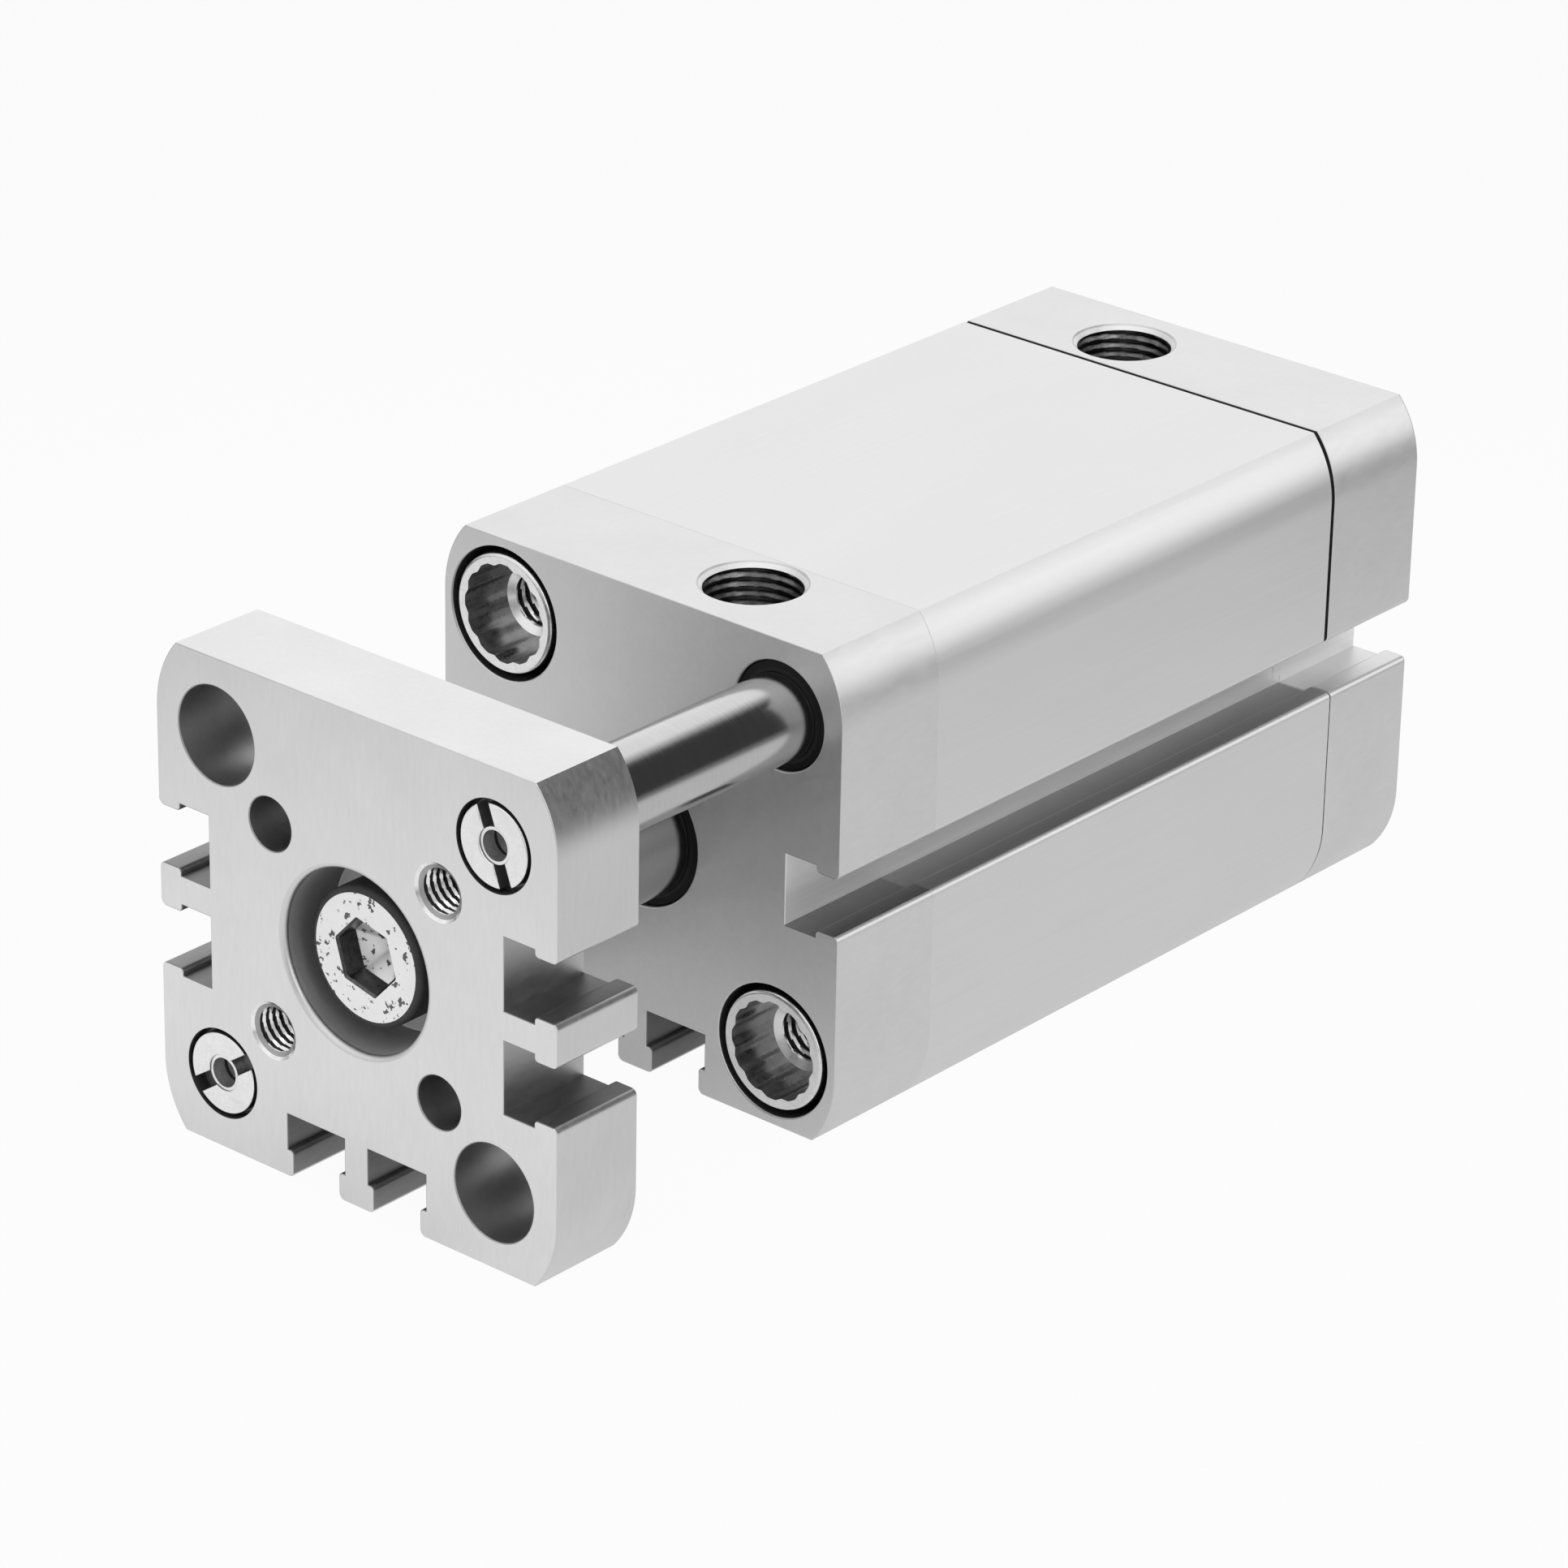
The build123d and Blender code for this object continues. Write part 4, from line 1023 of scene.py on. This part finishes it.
def makeWiper(name, node, rod, centre):
    # Closed ring: a thin lip that meets the rod, a flat front and a bevelled back.
    w = wiper
    front, outer, bevel = bearingCap["front"], w[rod + "Outer"], w["bevel"]
    inner = rods[rod] + w["gap"]
    start = front + w["recess"]
    end = front + w[rod + "End"]
    profile = [
        (inner, start - w["lipRise"]), (inner + w["lip"] * 0.5, start - w["lipRise"] * 0.8),
        (inner + w["lip"], start), (outer - bevel, start), (outer, start + bevel), (outer, end),
        (inner + w["back"], end), (inner, start + w["throat"]), (inner, start - w["lipRise"]),
    ]
    parts = [turnedSurface(profile, centre, wideTurns)]
    makePiece(name, parts, ["wiperRubber"], fixedBody, node)


makeWiper("rodWiper", "rod_wiper", "piston", (0, 0))
makeWiper("guideWiperUpper", "guide_wiper_upper", "guide", guideCorners[0])
makeWiper("guideWiperLower", "guide_wiper_lower", "guide", guideCorners[1])


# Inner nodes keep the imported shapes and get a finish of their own

innerFinishes = {
    "seal_rubber": "sealRubber", "cushion_plastic": "cushionPlastic", "band_plastic": "bandPlastic",
    "bush_bronze": "bushBronze", "zinc_steel": "screwPlated", "piston_aluminium": "capAnodised",
    "magnet": "bandPlastic", "polished_steel": "rodGround", "bright_steel": "screwPlated",
    "cap_aluminium": "capAnodised", "barrel_aluminium": "barrelAnodised", "yoke_aluminium": "yokeMilled",
    "wiper_rubber": "wiperRubber",
}
slotOfNode = {part["node"]: part["material_slot"] for part in frame["record"]["subparts"]}
for nodeName, nodeObject in nodes.items():
    nodeObject.data.materials.clear()
    nodeObject.data.materials.append(finishes[innerFinishes[slotOfNode[nodeName]]])
print("inner nodes finished")


# Floor, lamps and surroundings

stageSettings = {
    "floorSize": 4.0, "floorLevel": -23.51, "floorTone": 0.80, "floorRoughness": 0.9,
    "floorWhiteForCamera": 0.95, "floorFar": 0.42, "nearPlace": (10.0, -85.0), "nearReach": (110.0, 290.0),
    "shadePlace": (-8.0, -98.0), "shadeReach": (8.0, 42.0), "shadeShare": 0.6,
    "sideways": (0.76, 0.65, 0.0), "sideReach": (-110.0, -20.0), "sideShare": 0.72,
    "ambient": 0.32, "skyReach": (0.0, 0.5), "skyBehind": 1.68, "skyInFront": 0.84,
    "darkWay": (0.62, 0.55, 0.42), "darkReach": (0.57, 0.87), "darkShare": 0.045,
}
lamps = {
    "topSoftbox": {"place": (120, -160, 620), "aim": (0, -60, 0), "size": 1000, "watts": 1.5},
    "rightSoftbox": {"place": (560, -120, 260), "aim": (0, -60, 0), "size": 480, "watts": 1.1},
    "frontFill": {"place": (-260, -560, 220), "aim": (0, -90, 0), "size": 760, "watts": 0.75},
    "edgeStrip": {"place": (332, 305, 195), "aim": (22, -42, 20), "size": 340, "watts": 0.64,
                  "only": (bearingCapPiece, barrelPiece, endCapPiece)},
}


def makeFloor():
    # Nearly white for the camera; mirrored rays see it glow, less far off, to the right and near the yoke.
    s = stageSettings
    half = s["floorSize"] / 2
    level = s["floorLevel"] * mm
    mesh = bpy.data.meshes.new("floor")
    corners = ((-half, -half, level), (half, -half, level), (half, half, level), (-half, half, level))
    mesh.from_pydata(corners, [], [(0, 1, 2, 3)])
    floor = bpy.data.objects.new("floor", mesh)
    bpy.context.scene.collection.objects.link(floor)
    f = Finish("paleFloor", 0.0)

    def fading(operation, way, reach, first, last):
        return f.ranged(f.measured(operation, way), [at * mm for at in reach], first, last, "SMOOTHSTEP")

    near, shade = [(x * mm, y * mm, level) for x, y in (s["nearPlace"], s["shadePlace"])]
    away = fading("DISTANCE", near, s["nearReach"], 0.0, 1.0)
    sideways = fading("DOT_PRODUCT", s["sideways"], s["sideReach"], 1.0, s["sideShare"])
    shaded = fading("DISTANCE", shade, s["shadeReach"], s["shadeShare"], 1.0)
    colour = f.mixed(away, grey(s["floorTone"]), grey(s["floorFar"]))
    f.set(f.shader, {"Base Color": colour, "Roughness": s["floorRoughness"], "Specular IOR Level": 0.0})
    glow = f.maths("MULTIPLY", f.maths("MULTIPLY", f.maths("SUBTRACT", 1.0, away), sideways), shaded)
    path = f.add("ShaderNodeLightPath").outputs
    share = f.maths("MULTIPLY", path["Is Camera Ray"], s["floorWhiteForCamera"])
    for ray in ("Is Glossy Ray", "Is Transmission Ray"):
        share = f.maths("ADD", share, f.maths("MULTIPLY", path[ray], glow))
    white = f.add("ShaderNodeEmission", {"Strength": 1.0}).outputs["Emission"]
    f.set(f.output, {"Surface": f.mixedShader(share, f.shader.outputs["BSDF"], white)})
    mesh.materials.append(f.material)


def makeSurroundings():
    # White for the camera and even for plain light. Gloss mirrors a studio that is brighter behind than
    # in front and dark up to the right: level = sky(y) * darkening(direction . dark).
    s = stageSettings
    world = bpy.data.worlds.new("studio")
    bpy.context.scene.world = world
    world.use_nodes = True
    w = Nodes(world.node_tree, "ShaderNodeOutputWorld", "Generated")

    def light(strength):
        return w.add("ShaderNodeBackground", {"Strength": strength}).outputs["Background"]

    along = w.measured("DOT_PRODUCT", Vector(s["darkWay"]).normalized())
    darkening = w.ranged(along, s["darkReach"], 1.0, s["darkShare"], "SMOOTHSTEP")
    behind = w.add("ShaderNodeSeparateXYZ", {"Vector": w.coords}).outputs["Y"]
    sky = w.ranged(behind, s["skyReach"], s["skyInFront"], s["skyBehind"], "SMOOTHSTEP")
    path = w.add("ShaderNodeLightPath").outputs
    gloss = w.maths("MAXIMUM", path["Is Glossy Ray"], path["Is Transmission Ray"])
    studio = w.mixedShader(gloss, light(s["ambient"]), light(w.maths("MULTIPLY", darkening, sky)))
    w.set(w.output, {"Surface": w.mixedShader(path["Is Camera Ray"], studio, light(1.0))})


def makeLamps():
    for name, lamp in lamps.items():
        data = bpy.data.lights.new(name, "AREA")
        data.shape = "SQUARE"
        data.size = lamp["size"] * mm
        data.energy = lamp["watts"]
        light = bpy.data.objects.new(name, data)
        place = Vector(lamp["place"]) * mm
        aim = Vector(lamp["aim"]) * mm
        light.location = place
        light.rotation_euler = (aim - place).to_track_quat("-Z", "Y").to_euler()
        bpy.context.scene.collection.objects.link(light)
        if "only" in lamp:
            lit = bpy.data.collections.new(name + "Lit")
            for piece in lamp["only"]:
                lit.objects.link(piece)
            light.light_linking.receiver_collection = lit


makeFloor()
makeSurroundings()
makeLamps()
bpy.context.scene.view_settings.view_transform = "Standard"
print("floor, surroundings and lamps made")
